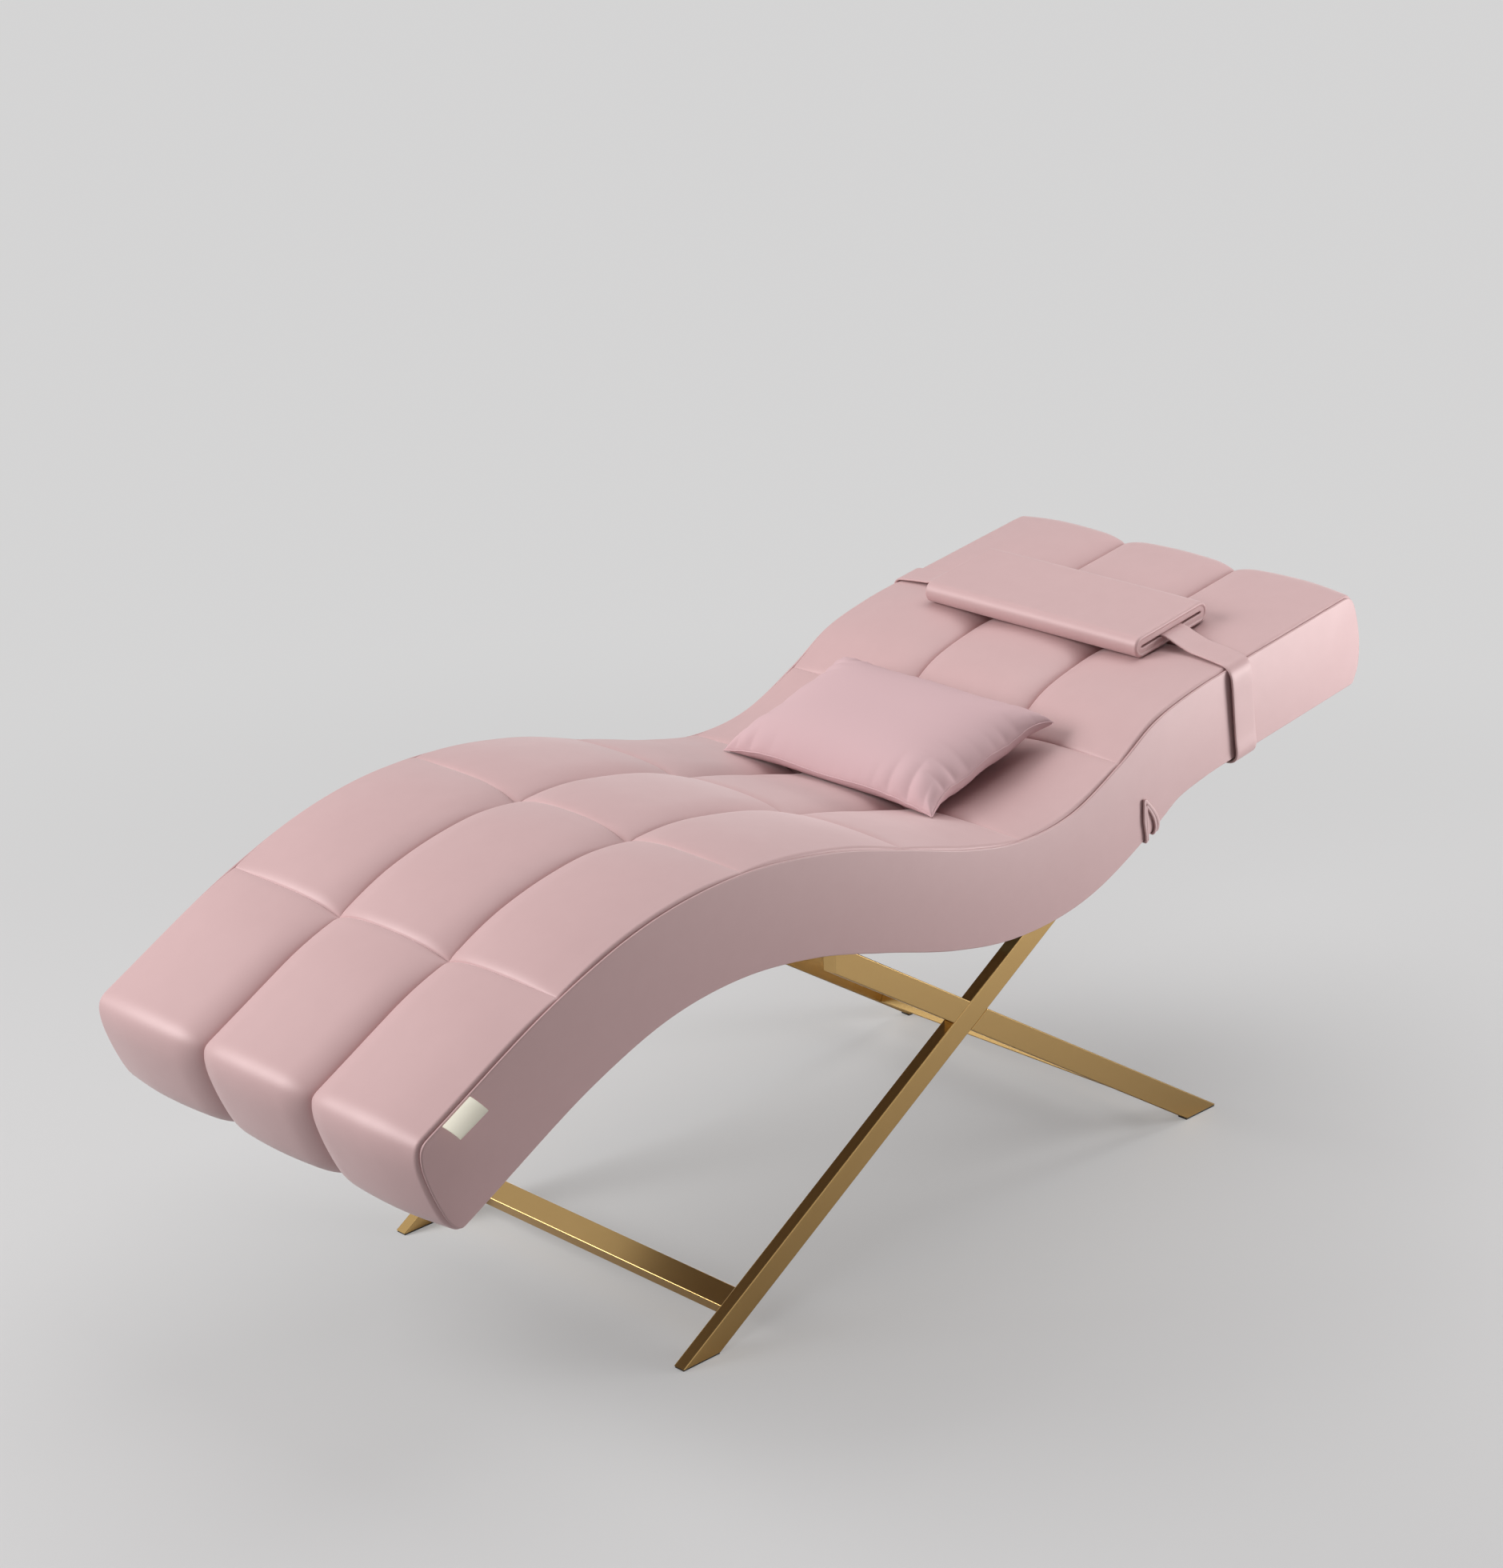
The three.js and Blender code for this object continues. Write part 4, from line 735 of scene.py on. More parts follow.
@dataclass
class Pillow:
    """Loose pillow: two faces that meet in a seam, with drawn-out corners and small folds along the seam."""

    quilt: Quilt
    length: float = 410 * MM
    width: float = 268 * MM
    thickness: float = 92 * MM
    tilt: float = math.radians(15.5)
    cells_long: int = 150
    cells_wide: int = 110
    cell_pull: float = 0.45
    pinch_wide: float = 0.05
    pinch_long: float = 0.075
    puff_wide: float = 2.9
    puff_long: float = 4.4
    puff_round: float = 0.74
    lower_round: float = 0.6
    fullness: float = 2.4
    droop: float = 7 * MM
    seam_wander_wide: float = 1.6 * MM
    seam_wander_long: float = 2.2 * MM
    fold_length: float = 30 * MM
    fold_waves: tuple = ((0, 1.3, 45 * MM), (0, 0.8, 21 * MM), (0.65, 0.35, 60 * MM), (0.8, 0.3, 30 * MM))
    side_phase: float = 0.9
    fold_reach: float = 40 * MM
    fold_height: float = 3.2 * MM
    fold_least: float = 0.16
    fold_peak: float = 62 * MM
    fold_spread: float = 42 * MM
    seam_flat: float = 4 * MM
    seed: int = 11
    rest_gap: float = 1.2 * MM
    press_depth: float = 3 * MM
    seam_radius: float = 1.1 * MM

    def _grid(self) -> tuple[np.ndarray, np.ndarray, np.ndarray, np.ndarray, np.ndarray]:
        """Numbers of the two faces' points, which share their border.

        Returns:
            Each point's place across and along from -1 to 1, its side, the quads, and the border's numbers.
        """
        rows, columns = self.cells_wide + 1, self.cells_long + 1
        u, v = (grid.ravel() for grid in np.meshgrid(
            clustered(-1, 1, rows, self.cell_pull), clustered(-1, 1, columns, self.cell_pull), indexing="ij"))
        number = np.arange(rows * columns).reshape(rows, columns)
        border = np.concatenate([number[0, :-1], number[:-1, -1], number[-1, :0:-1], number[:0:-1, 0]])
        inside = np.setdiff1d(number.ravel(), border)
        lower = np.arange(rows * columns)
        lower[inside] = rows * columns + np.arange(len(inside))
        quads = []
        for numbers in (number, lower.reshape(rows, columns)):
            quad = np.stack([numbers[:-1, :-1], numbers[1:, :-1], numbers[1:, 1:], numbers[:-1, 1:]], axis=-1)
            quads.append(quad.reshape(-1, 4))
        side = np.concatenate([np.ones(rows * columns), -np.ones(len(inside))])
        return (np.concatenate([u, u[inside]]), np.concatenate([v, v[inside]]), side,
                np.vstack([quads[0], quads[1][:, ::-1]]), border)

    def _folds(self, u: np.ndarray, v: np.ndarray, side: np.ndarray) -> np.ndarray:
        """Height of the small folds that run in from the seam.

        Along each edge they are the absolute value of a sine, so that they have round backs and narrow
        creases, and its phase wanders by two slower seeded sines. They are strongest a little way from
        each corner and fade by a bell curve of the distance from the edge.
        """
        rng = np.random.default_rng(self.seed)
        total = np.zeros_like(u)
        for across, run, across_size, run_size in ((u, v, self.width, self.length),
                                                   (v, u, self.length, self.width)):
            for end in (-1.0, 1.0):
                distance = (1 - end * across) * across_size / 2
                place = run * run_size / 2
                wander, ripple, swell, reach = (
                    mean + amount * np.sin(place / size + start)
                    for (mean, amount, size), start in zip(self.fold_waves, rng.uniform(0, 2 * math.pi, 4)))
                phase = 2 * math.pi * place / self.fold_length + wander + ripple + self.side_phase * side
                from_peak = (run_size / 2 - np.abs(place) - self.fold_peak) / self.fold_spread
                strength = blend(self.fold_least, 1, np.exp(-from_peak ** 2)) * swell
                fade = np.exp(-(distance / (self.fold_reach * reach)) ** 2)
                fade *= np.clip(distance / self.seam_flat, 0.25, 1)
                total += (2 * np.abs(np.sin(phase / 2)) ** 0.9 - 1.2) * strength * fade
        return total * self.fold_height

    def _shape(self, u: np.ndarray, v: np.ndarray, side: np.ndarray) -> np.ndarray:
        """Points of the pillow lying level, by its formula.

        The seam is drawn in half way along each edge and runs out to the corners. Each face rises by a
        soft minimum of two rounded profiles, one across and one along: the inverse powers of both are
        added, less one, and the inverse power of the sum is taken.
        """
        wide, long = np.abs(u), np.abs(v)
        x = u * (1 - self.pinch_wide * (1 - v ** 4) * wide ** 3) * self.width / 2
        y = v * (1 - self.pinch_long * (1 - u ** 4) * long ** 3) * self.length / 2
        roundness = np.where(side > 0, self.puff_round, self.lower_round)
        across_rise = np.clip(1 - wide ** self.puff_wide, 1e-6, 1) ** roundness
        along_rise = np.clip(1 - long ** self.puff_long, 1e-6, 1) ** roundness
        power = self.fullness
        rise = (across_rise ** -power + along_rise ** -power - 1) ** (-1 / power)
        seam = (self.seam_wander_wide * np.sin(7 * v + 2 * u) * wide ** 4
                + self.seam_wander_long * np.sin(9 * u + 1) * long ** 4)
        z = side * rise * self.thickness / 2 + self._folds(u, v, side) * (0.6 + 0.4 * side) + seam
        return np.stack([x, y, z - self.droop * (wide * long) ** 7], axis=1)

    def _settled(self, points: np.ndarray) -> np.ndarray:
        """Tilts the pillow, stands it in its place, and presses its underside flat on the cover."""
        low, high = points.min(axis=0), points.max(axis=0)
        x, y, z = ((points - (low + high) / 2) / (high - low) * [self.width, self.length, self.thickness]).T
        cos, sin = math.cos(self.tilt), math.sin(self.tilt)
        turned = np.stack([x * cos - z * sin, y, x * sin + z * cos], axis=1)
        placed = turned + (np.array(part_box("pillow")).sum(axis=0)
                           - turned.min(axis=0) - turned.max(axis=0)) / 2
        floor = self.quilt.top_at(placed[:, 0], placed[:, 1]) + self.rest_gap
        gap = placed[:, 2] - floor
        soft = self.press_depth
        placed[:, 2] = floor + np.where(gap > soft, gap, soft * np.exp(np.clip((gap - soft) / soft, -60, 0)))
        return placed

    def build(self) -> tuple[bpy.types.Object, bpy.types.Object]:
        """Makes the pillow and the fine piping round its edge."""
        u, v, side, quads, border = self._grid()
        settled = self._settled(self._shape(u, v, side))
        piece = mesh_object("satin_pillow", settled, quads)
        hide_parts("pillow")
        return piece, self._edge(settled[border])

    def _edge(self, loop: np.ndarray) -> bpy.types.Object:
        """Makes the edge seam: a circle carried round the border."""
        slope = loop_slope(loop)
        sideways = unit(np.cross(slope, [0.0, 0.0, 1.0]))
        upward = np.cross(sideways, slope)
        cos, sin = (values[:, None] * self.seam_radius for values in circle(8))
        rings = loop[:, None] + cos * sideways[:, None] + sin * upward[:, None]
        return ring_object("pillow_edge_seam", rings, Border.LOOPED)


@dataclass
class RibbonTab:
    """Bare woven ribbon, folded double, sewn into the side seam near the foot and standing out from it."""

    wave: Wave
    width: float = 51 * MM
    reach: float = 28 * MM
    thickness: float = 0.8 * MM
    gap: float = 0.5 * MM
    off_panel: float = 0.5 * MM
    lean: float = math.radians(66)
    bow: float = math.radians(34)
    bow_middle: float = 0.45
    twist: float = math.radians(7)
    start_up: float = 1.5 * MM
    place_share: float = 0.0184
    section_steps: int = 26
    sections: int = 24

    def _section(self, place: float) -> np.ndarray:
        """Section at a place from -0.5 to 0.5 along the tab, as distance out and height: out, round and back.

        It leans out from the panel and bends down as it goes, so its direction turns evenly from less
        than the mean lean to more. Towards the foot the whole section turns a little further out.
        """
        share = np.linspace(0, 1, self.section_steps)
        turn = QUARTER_TURN - self.lean + self.bow * (share - self.bow_middle) + self.twist * place
        ahead = np.stack([np.cos(turn), -np.sin(turn)], axis=1)
        across = ahead[:, ::-1] * MIRRORED
        middle = np.cumsum(ahead, axis=0) * self.reach / (self.section_steps - 1)
        bend = np.linspace(0, math.pi, 9)[1:-1, None]
        faces = []
        for reach in (self.gap / 2 + self.thickness, self.gap / 2):
            fold = middle[-1] + reach * (np.cos(bend) * across[-1] + np.sin(bend) * ahead[-1])
            faces.append(np.vstack([middle + across * reach, fold, (middle - across * reach)[::-1]]))
        return np.vstack([faces[0], faces[1][::-1]])

    def build(self) -> bpy.types.Object:
        """Makes the tab: a thin section carried along the seam."""
        places = np.linspace(-0.5, 0.5, self.sections)
        sections = np.stack([self._section(place) for place in places])
        along = self.place_share * self.wave.total + self.width * (0.5 + places[:, None])
        rings = self.wave.points(along, self.wave.depth - self.start_up + sections[..., 1],
                                 -(self.wave.half_width + self.off_panel + sections[..., 0]))
        tab = ring_object("ribbon_tab", rings, Border.CAPPED, SHARP)
        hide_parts("label_tab")
        return tab


@dataclass
class Pleats:
    """Nested folds of cover sheet that come round the lower edge of the near side and meet in a peak."""

    wave: Wave
    place_share: float = 0.7378
    height: float = 60 * MM
    width: float = 30 * MM
    proud: float = 3.0 * MM
    half_thickness: float = 1.8 * MM
    tuck: float = 15 * MM
    flatness: float = 0.75
    end_proud_share: float = 0.55
    rings: int = 190
    outer_band: float = 4.6 * MM
    inner_band: float = 3.8 * MM
    inner_proud_share: float = 0.85
    outer_shares: tuple = (
        (0.20, -0.02), (0.28, 0.10), (0.41, 0.30), (0.61, 0.66), (0.79, 0.92), (0.86, 1), (0.91, 0.93),
        (1.01, 0.68), (1.08, 0.36), (1.01, 0.10), (0.86, -0.02))
    inner_shares: tuple = (
        (0.33, -0.02), (0.42, 0.10), (0.54, 0.30), (0.70, 0.60), (0.79, 0.77), (0.84, 0.83), (0.88, 0.77),
        (0.94, 0.58), (0.96, 0.34), (0.88, 0.10), (0.73, -0.02))

    def _fold(self, name: str, shares: tuple, band: float, proud: float) -> bpy.types.Object:
        """Makes one fold: a rounded band carried up one side of an arch, over it and down the other.

        The arch is a Catmull-Rom curve through shares of the width and the height, and its ends turn in
        under the lower edge.

        Args:
            name: name of the piece.
            shares: places on the arch, along the bed and up.
            band: width of the band.
            proud: how far the middle of the band stands off the panel.

        Returns:
            The fold.
        """
        start = float(self.wave.along_at(self.wave.foot_x + self.place_share * self.wave.length, 0.0))
        line = np.column_stack([np.array(shares) * [self.width, self.height], np.full(len(shares), proud)])
        line[[0, -1], 2] = proud * self.end_proud_share
        ends = [[(along, up * 1.1, -self.tuck * 0.3), (along, up * 0.4, -self.tuck)]
                for along, up, _ in line[[0, -1]]]
        line = respaced(catmull_rom(np.vstack([ends[0][::-1], line, ends[1]]), 20, 0.5), self.rings)
        slope = unit(np.gradient(line, axis=0))
        outward = unit(np.array([0.0, 0.0, 1.0]) - slope * slope[:, 2:])
        across = np.cross(slope, outward)
        cos, sin = (np.sign(values) * np.abs(values) ** self.flatness for values in circle(24))
        rings = (line[:, None] + cos[:, None] * band / 2 * across[:, None]
                 + sin[:, None] * self.half_thickness * outward[:, None])
        points = self.wave.points(start + rings[..., 0], rings[..., 1], -self.wave.half_width - rings[..., 2])
        return ring_object(name, points, Border.CAPPED)

    def build(self) -> list[bpy.types.Object]:
        """Makes the outer and the inner fold."""
        outer = self._fold("pleat_outer_fold", self.outer_shares, self.outer_band, self.proud)
        inner = self._fold("pleat_inner_fold", self.inner_shares, self.inner_band,
                           self.proud * self.inner_proud_share)
        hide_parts("pleat_outer", "pleat_tuck")
        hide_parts("pleat_inner")
        return [outer, inner]


class Nodes:
    """A node tree that starts empty, with one call that adds a node, sets its sockets and links them."""

    def __init__(self, tree: bpy.types.NodeTree) -> None:
        """Keeps the tree and clears it."""
        self.tree = tree
        tree.nodes.clear()

    def add(self, kind: str, sockets: dict[str | int, object] | None = None,
            **settings: object) -> bpy.types.Node:
        """Adds a node.

        Args:
            kind: type of the node.
            sockets: by name or number of an input, its value or the output that is joined to it.
            settings: the node's own properties.

        Returns:
            The new node.
        """
        node = self.tree.nodes.new(kind)
        for name, value in settings.items():
            setattr(node, name, value)
        for place, value in (sockets or {}).items():
            if isinstance(value, bpy.types.NodeSocket):
                self.tree.links.new(value, node.inputs[place])
            else:
                node.inputs[place].default_value = value
        return node


def new_group(name: str, inputs: dict[str, tuple[str, object]],
              outputs: dict[str, str]) -> bpy.types.NodeTree:
    """Makes an empty shader node group with named sockets.

    Args:
        name: name of the group.
        inputs: socket type and default by name.
        outputs: socket type by name.

    Returns:
        The group's tree.
    """
    tree = bpy.data.node_groups.new(name, "ShaderNodeTree")
    for label, (kind, value) in inputs.items():
        socket = tree.interface.new_socket(name=label, in_out="INPUT", socket_type=kind)
        socket.default_value = value
    for label, kind in outputs.items():
        tree.interface.new_socket(name=label, in_out="OUTPUT", socket_type=kind)
    return tree


@cache
def grain_group() -> bpy.types.NodeTree:
    """Surface grain: fine cells over slow unevenness, as a normal and a mask from 0 to 1."""
    tree = new_group("surface_grain", {
        "Scale": ("NodeSocketFloat", 900.0), "Strength": ("NodeSocketFloat", 0.2),
        "Stretch": ("NodeSocketVector", (1.0, 1.0, 1.0))},
        {"Normal": "NodeSocketVector", "Mask": "NodeSocketFloat"})
    nodes = Nodes(tree)
    start = nodes.add("NodeGroupInput").outputs
    place = nodes.add("ShaderNodeTexCoord").outputs["Object"]
    stretched = nodes.add("ShaderNodeVectorMath", {0: place, 1: start["Stretch"]},
                          operation="MULTIPLY").outputs[0]
    cells = nodes.add("ShaderNodeTexVoronoi", {"Smoothness": 0.6, "Vector": stretched,
                                               "Scale": start["Scale"]}, feature="SMOOTH_F1")
    slow = nodes.add("ShaderNodeTexNoise", {"Scale": 34.0, "Detail": 3.0, "Vector": stretched}).outputs["Fac"]
    mixed = nodes.add("ShaderNodeMath", {0: cells.outputs["Distance"], 1: 0.6, 2: slow},
                      operation="MULTIPLY_ADD")
    bump = nodes.add("ShaderNodeBump", {"Distance": 0.3 * MM, "Strength": start["Strength"],
                                        "Height": mixed.outputs[0]})
    nodes.add("NodeGroupOutput", {"Normal": bump.outputs["Normal"], "Mask": slow})
    return tree


@cache
def tone_group() -> bpy.types.NodeTree:
    """Slight change of tone: mixes two colours by a mask."""
    tree = new_group("tone_change", {
        "Colour": ("NodeSocketColor", (0.8, 0.8, 0.8, 1)), "Other": ("NodeSocketColor", (0.7, 0.7, 0.7, 1)),
        "Mask": ("NodeSocketFloat", 0.5)}, {"Colour": "NodeSocketColor"})
    nodes = Nodes(tree)
    start = nodes.add("NodeGroupInput").outputs
    mix = nodes.add("ShaderNodeMix", {"Factor": start["Mask"], 6: start["Colour"], 7: start["Other"]},
                    data_type="RGBA")
    nodes.add("NodeGroupOutput", {"Colour": mix.outputs[2]})
    return tree


@dataclass(frozen=True)
class Finish:
    """A surface finish: a colour that drifts a little, a roughness range, and a grain."""

    name: str
    slot: str
    colour: tuple[float, float, float]
    other: tuple[float, float, float]
    roughness: tuple[float, float] = (0.45, 0.55)
    metallic: float = 0.0
    specular: float = 0.5
    tint: tuple[float, float, float] = (1.0, 1.0, 1.0)
    sheen: float = 0.0
    sheen_roughness: float = 0.4
    grain_scale: float = 900.0
    grain_strength: float = 0.2
    stretch: tuple[float, float, float] = (1.0, 1.0, 1.0)

    def material(self) -> bpy.types.Material:
        """Makes the material, or gives the one that already has its name, the frame's own included."""
        if self.name in bpy.data.materials:
            return bpy.data.materials[self.name]
        material = bpy.data.materials.new(self.name)
        material.use_nodes = True
        nodes = Nodes(material.node_tree)
        grain = nodes.add("ShaderNodeGroup", {"Scale": self.grain_scale, "Strength": self.grain_strength,
                                              "Stretch": self.stretch}, node_tree=grain_group())
        mask = grain.outputs["Mask"]
        tone = nodes.add("ShaderNodeGroup", {
            "Colour": (*self.colour, 1), "Other": (*self.other, 1), "Mask": mask}, node_tree=tone_group())
        rough = nodes.add("ShaderNodeMapRange", {"To Min": self.roughness[0], "To Max": self.roughness[1],
                                                 "Value": mask})
        shader = nodes.add("ShaderNodeBsdfPrincipled", {
            "Metallic": self.metallic, "Specular IOR Level": self.specular, "Specular Tint": (*self.tint, 1),
            "Sheen Weight": self.sheen, "Sheen Roughness": self.sheen_roughness,
            "Normal": grain.outputs["Normal"], "Base Color": tone.outputs["Colour"],
            "Roughness": rough.outputs["Result"]})
        nodes.add("ShaderNodeOutputMaterial", {"Surface": shader.outputs["BSDF"]})
        return material

    def dress(self, piece: bpy.types.Object) -> None:
        """Puts the material on a piece."""
        piece.data.materials.clear()
        piece.data.materials.append(self.material())


def srgb(red: int, green: int, blue: int) -> tuple[float, float, float]:
    """Linear colour from its display values, by the standard display curve."""
    values = np.array([red, green, blue]) / 255
    linear = np.where(values <= 0.04045, values / 12.92, ((values + 0.055) / 1.055) ** 2.4)
    return tuple(float(value) for value in linear)


# The frame has materials named satin and foam. SATIN and FOAM find those, so their own values have no effect.
LEATHER = Finish("faux_leather", "leather", srgb(204, 170, 170), srgb(200, 166, 166), roughness=(0.46, 0.52),
                 specular=0.85, tint=(1.0, 0.86, 0.86), sheen=0.2, grain_scale=1100, grain_strength=0.12)
LINING = Finish("lining_cloth", "leather", srgb(150, 136, 128), srgb(142, 128, 120), roughness=(0.7, 0.8),
                grain_scale=1500, grain_strength=0.3)
SATIN = Finish("satin", "satin", srgb(203, 163, 163), srgb(198, 158, 158), roughness=(0.36, 0.42),
               specular=0.9, sheen=0.15, grain_scale=1600, grain_strength=0.06, stretch=(1.0, 3.0, 1.0))
BRASS = Finish("satin_brass", "brass", srgb(198, 164, 108), srgb(194, 160, 104), roughness=(0.21, 0.25),
               metallic=1.0, grain_scale=500, grain_strength=0.0)
STEEL = Finish("plated_steel", "steel", srgb(143, 143, 140), srgb(128, 128, 126), roughness=(0.35, 0.45),
               metallic=1.0)
PLYWOOD = Finish("birch_ply", "plywood", srgb(205, 175, 125), srgb(180, 148, 100), roughness=(0.6, 0.75),
                 grain_scale=300, stretch=(0.1, 1.0, 1.0))
FOAM = Finish("foam", "foam", srgb(233, 226, 200), srgb(222, 214, 186), roughness=(0.9, 0.98),
              grain_scale=700, grain_strength=0.6)
NYLON = Finish("black_nylon", "nylon", srgb(40, 38, 36), srgb(48, 46, 43), roughness=(0.5, 0.65))
RIBBON = Finish("woven_ribbon", "ribbon", srgb(252, 249, 232), srgb(247, 243, 224), roughness=(0.7, 0.85),
                specular=0.3, grain_scale=1500, grain_strength=0.3, stretch=(1.0, 1.0, 2.5))


@dataclass
class MetalAndTimber:
    """CAD nodes that stay: the brass base, its plates and bolts, and what is inside the body."""

    edge: float = 0.9 * MM
    weld: float = 0.01 * MM
    finishes: tuple = (
        ("leg_", BRASS), ("crossbar", BRASS), ("glide", NYLON), ("fastener", NYLON), ("mount_plate", STEEL),
        ("mount_bolt", STEEL), ("foam", FOAM), ("rail", PLYWOOD), ("board", PLYWOOD), ("batten", PLYWOOD),
        ("label", RIBBON), ("pillow", SATIN))

    def dress(self) -> int:
        """Gives each node its finish, and the brass bars a fine rounded edge.

        Returns:
            How many nodes were dressed.
        """
        for name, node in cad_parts.items():
            finish = next((finish for word, finish in self.finishes if word in name), LEATHER)
            node.data.materials.clear()
            node.data.materials.append(finish.material())
            if finish is BRASS:
                self._round_edges(node)
        return len(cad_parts)

    def _round_edges(self, node: bpy.types.Object) -> None:
        """Adds modifiers that merge the loose triangles and round their edges."""
        weld = node.modifiers.new("merge", "WELD")
        weld.merge_threshold = self.weld
        bevel = node.modifiers.new("edge", "BEVEL")
        bevel.width = self.edge
        bevel.segments = 3
        bevel.limit_method = "ANGLE"
        bevel.angle_limit = math.radians(30)
        bevel.harden_normals = False


@dataclass
class Studio:
    """Pale floor, soft lights and the camera."""

    floor_half: float = 30.0
    backdrop: tuple = (0.664, 0.664 * 0.995, 0.664 * 0.995, 1)
    fill: float = 0.155
    fill_colour: tuple = (1.0, 0.90, 0.90, 1)
    floor_glow: float = 0.4
    floor_lit: tuple = (0.5, 0.5, 0.5, 1)
    floor_seen: tuple = (0.685, 0.687, 0.689, 1)
    fade_middle: tuple = (0.2, 0.3, 0)
    fade_start: float = 0.9
    fade_end: float = 3.1
    camera_place: tuple = (-3434.96 * MM, -3388.32 * MM, 2398.80 * MM)
    camera_yaw: float = math.radians(44.970)
    camera_pitch: float = math.radians(20.150)
    camera_roll: float = math.radians(-0.679)
    camera_lens: float = 83.954
    sensor: float = 36.0
    view_end: float = 200.0
    lamps: tuple = (
        ("overhead", (0.5, 0.0, 3.6), (0.2, 0.0, 0.4), 2.8, 36),
        ("far_left", (-4.0, 2.9, 3.3), (-0.2, 0.0, 0.5), 3.0, 258),
        ("head_top", (1.2, -0.3, 2.3), (0.85, -0.1, 0.7), 1.0, 6),
        ("head_side", (2.2, -1.9, 0.7), (0.75, -0.3, 0.6), 1.2, 47))

    def build_camera(self) -> None:
        """Stands the camera at the photograph's place, from its yaw, its pitch down and its roll."""
        yaw, pitch, roll = self.camera_yaw, self.camera_pitch, self.camera_roll
        ahead = Vector((math.cos(yaw) * math.cos(pitch), math.sin(yaw) * math.cos(pitch), -math.sin(pitch)))
        level = ahead.cross(Vector((0, 0, 1))).normalized()
        upright = level.cross(ahead)
        right = math.cos(roll) * level + math.sin(roll) * upright
        up = -math.sin(roll) * level + math.cos(roll) * upright
        data = bpy.data.cameras.new("camera")
        data.lens = self.camera_lens
        data.sensor_width = self.sensor
        data.clip_end = self.view_end
        camera = bpy.data.objects.new("camera", data)
        axes = Matrix((right, up, -ahead)).transposed()
        camera.matrix_world = Matrix.Translation(self.camera_place) @ axes.to_4x4()
        bpy.context.scene.collection.objects.link(camera)
        bpy.context.scene.camera = camera

    def build_floor(self) -> None:
        """Makes the floor, which takes the bed's shadow near it and melts into the backdrop further away."""
        half = self.floor_half
        points = np.array([[-half, -half, 0], [half, -half, 0], [half, half, 0], [-half, half, 0]])
        floor = mesh_object("floor", points, np.array([[0, 1, 2, 3]]))
        floor.data.materials.append(self._floor_material())

    def _floor_material(self) -> bpy.types.Material:
        """Matt floor that turns, away from the bed and for seen rays only, into the backdrop's own tone."""
        material = bpy.data.materials.new("studio_floor")
        material.use_nodes = True
        nodes = Nodes(material.node_tree)
        rays = nodes.add("ShaderNodeLightPath").outputs
        seen, mirrored = rays["Is Camera Ray"], rays["Is Glossy Ray"]
        sharp = nodes.add("ShaderNodeMath", {0: seen, 1: mirrored}, operation="MAXIMUM").outputs[0]
        base = nodes.add("ShaderNodeMix", {"Factor": sharp, "A": self.floor_lit, "B": self.floor_seen},
                         data_type="RGBA")
        matt = nodes.add("ShaderNodeBsdfPrincipled", {"Base Color": base.outputs["Result"], "Roughness": 0.5,
                                                      "Specular IOR Level": 0.0}).outputs["BSDF"]
        place = nodes.add("ShaderNodeTexCoord").outputs["Object"]
        shifted = nodes.add("ShaderNodeMapping", {"Location": self.fade_middle, "Vector": place})
        distance = nodes.add("ShaderNodeVectorMath", {0: shifted.outputs["Vector"]}, operation="LENGTH")
        fade = nodes.add("ShaderNodeMapRange", {
            "From Min": self.fade_start, "From Max": self.fade_end, "Value": distance.outputs["Value"]},
            interpolation_type="SMOOTHSTEP").outputs["Result"]
        near = nodes.add("ShaderNodeMapRange", {"To Min": self.floor_glow, "Value": fade}).outputs["Result"]
        looked_at = nodes.add("ShaderNodeMath", {0: seen, 1: near}, operation="MULTIPLY").outputs[0]
        share = nodes.add("ShaderNodeMath", {0: mirrored, 1: fade, 2: looked_at}, operation="MULTIPLY_ADD")
        glow = nodes.add("ShaderNodeEmission", {"Color": self.backdrop}).outputs["Emission"]
        mix = nodes.add("ShaderNodeMixShader", {"Fac": share.outputs[0], 1: matt, 2: glow})
        nodes.add("ShaderNodeOutputMaterial", {"Surface": mix.outputs["Shader"]})
        return material

    def build_world(self) -> None:
        """Makes the even fill light, and the backdrop's tone for rays that see it."""
        world = bpy.data.worlds.new("studio")
        bpy.context.scene.world = world
        world.use_nodes = True
        nodes = Nodes(world.node_tree)
        fill = nodes.add("ShaderNodeBackground", {"Color": self.fill_colour, "Strength": self.fill})
        backdrop = nodes.add("ShaderNodeBackground", {"Color": self.backdrop})
        rays = nodes.add("ShaderNodeLightPath").outputs
        clear = nodes.add("ShaderNodeMath", {0: rays["Is Glossy Ray"], 1: rays["Is Transmission Ray"]},
                          operation="MAXIMUM").outputs[0]
        seen = nodes.add("ShaderNodeMath", {0: rays["Is Camera Ray"], 1: clear}, operation="MAXIMUM")
        mix = nodes.add("ShaderNodeMixShader", {"Fac": seen.outputs[0], 1: fill.outputs["Background"],
                                                2: backdrop.outputs["Background"]})
        nodes.add("ShaderNodeOutputWorld", {"Surface": mix.outputs["Shader"]})

    def build_lights(self) -> None:
        """Stands the square soft lights, each turned to its target: name, place, target, size and watts."""
        for name, place, target, size, power in self.lamps:
            data = bpy.data.lights.new(name, "AREA")
            data.shape = "RECTANGLE"
            data.size = data.size_y = size
            data.energy = power
            light = bpy.data.objects.new(name, data)
            turn = (Vector(target) - Vector(place)).to_track_quat("-Z", "Y").to_matrix().to_4x4()
            light.matrix_world = Matrix.Translation(place) @ turn
            bpy.context.scene.collection.objects.link(light)


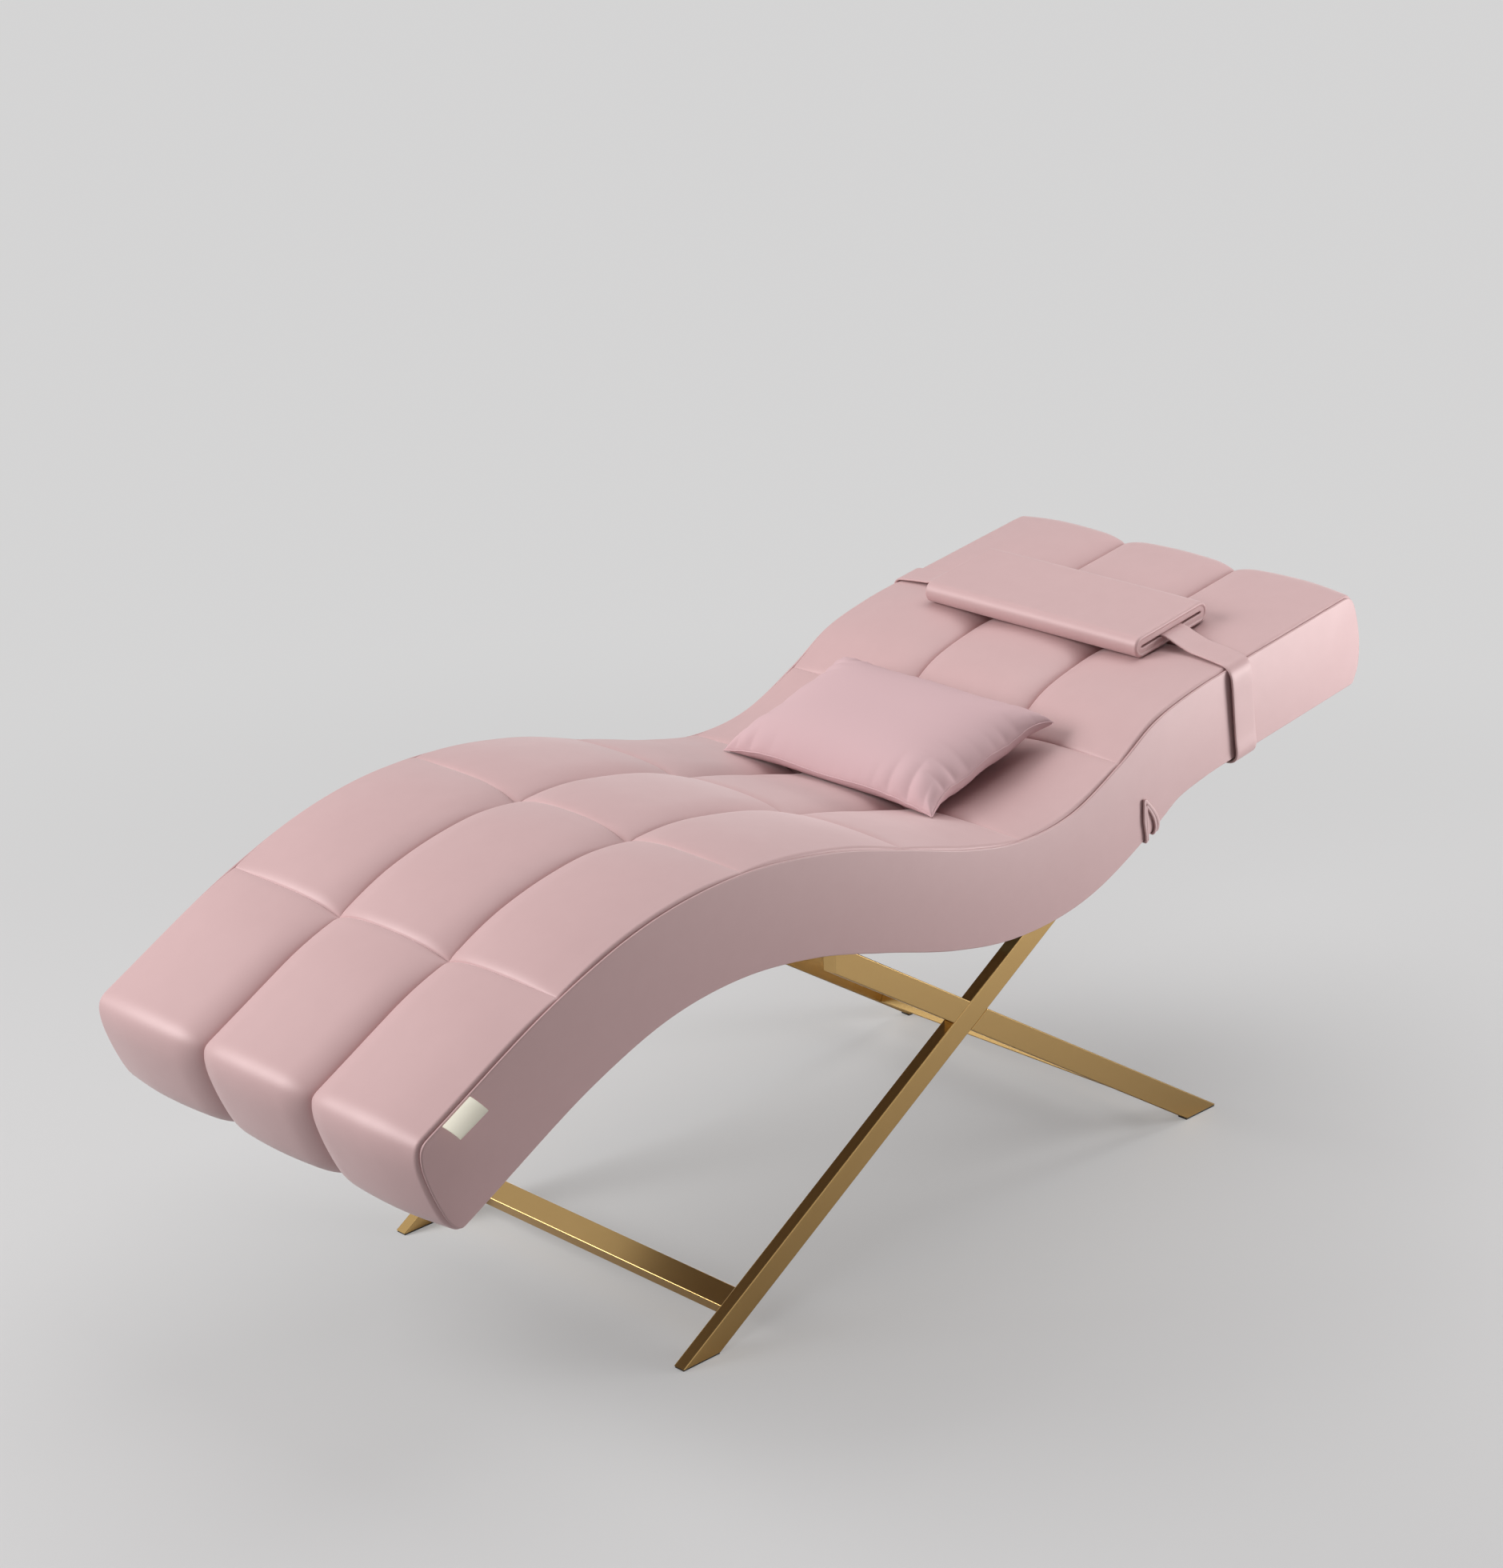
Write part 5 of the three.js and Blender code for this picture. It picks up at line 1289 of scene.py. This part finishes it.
def ride_and_log(piece: bpy.types.Object, body: Body, finish: Finish) -> None:
    """Dresses a finished piece, lets it ride on its body and logs it."""
    finish.dress(piece)
    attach(piece, body.value)
    LOG.info("%s: %d points, rides on %s", piece.name, len(piece.data.vertices), body.value)


def main() -> None:
    """Builds every piece in order, then the studio."""
    logging.basicConfig(level=logging.INFO, format="%(message)s")
    bpy.context.scene.view_settings.view_transform = "Standard"
    studio = Studio()
    studio.build_camera()
    wave = Wave()
    LOG.info("seam line %.4f m", wave.total)
    quilt = Quilt(wave)
    ride_and_log(quilt.build(), Body.BED, LEATHER)
    panels = SidePanels(wave)
    for side, sign in SIDES:
        ride_and_log(panels.build_panel(side, sign), Body.BED, LEATHER)
        ride_and_log(panels.build_cord(side, sign), Body.BED, LEATHER)
    ride_and_log(panels.build_lining(), Body.BED, LINING)
    headrest = Headrest(wave, quilt)
    ride_and_log(headrest.build_pad(), Body.PAD, LEATHER)
    ride_and_log(headrest.build_strap(), Body.STRAP, LEATHER)
    for piece in Pillow(quilt).build():
        ride_and_log(piece, Body.PILLOW, SATIN)
    ride_and_log(RibbonTab(wave).build(), Body.BED, RIBBON)
    for fold in Pleats(wave).build():
        ride_and_log(fold, Body.BED, LEATHER)
    LOG.info("%d nodes dressed", MetalAndTimber().dress())
    studio.build_floor()
    studio.build_world()
    studio.build_lights()


if __name__ == "__main__":
    main()
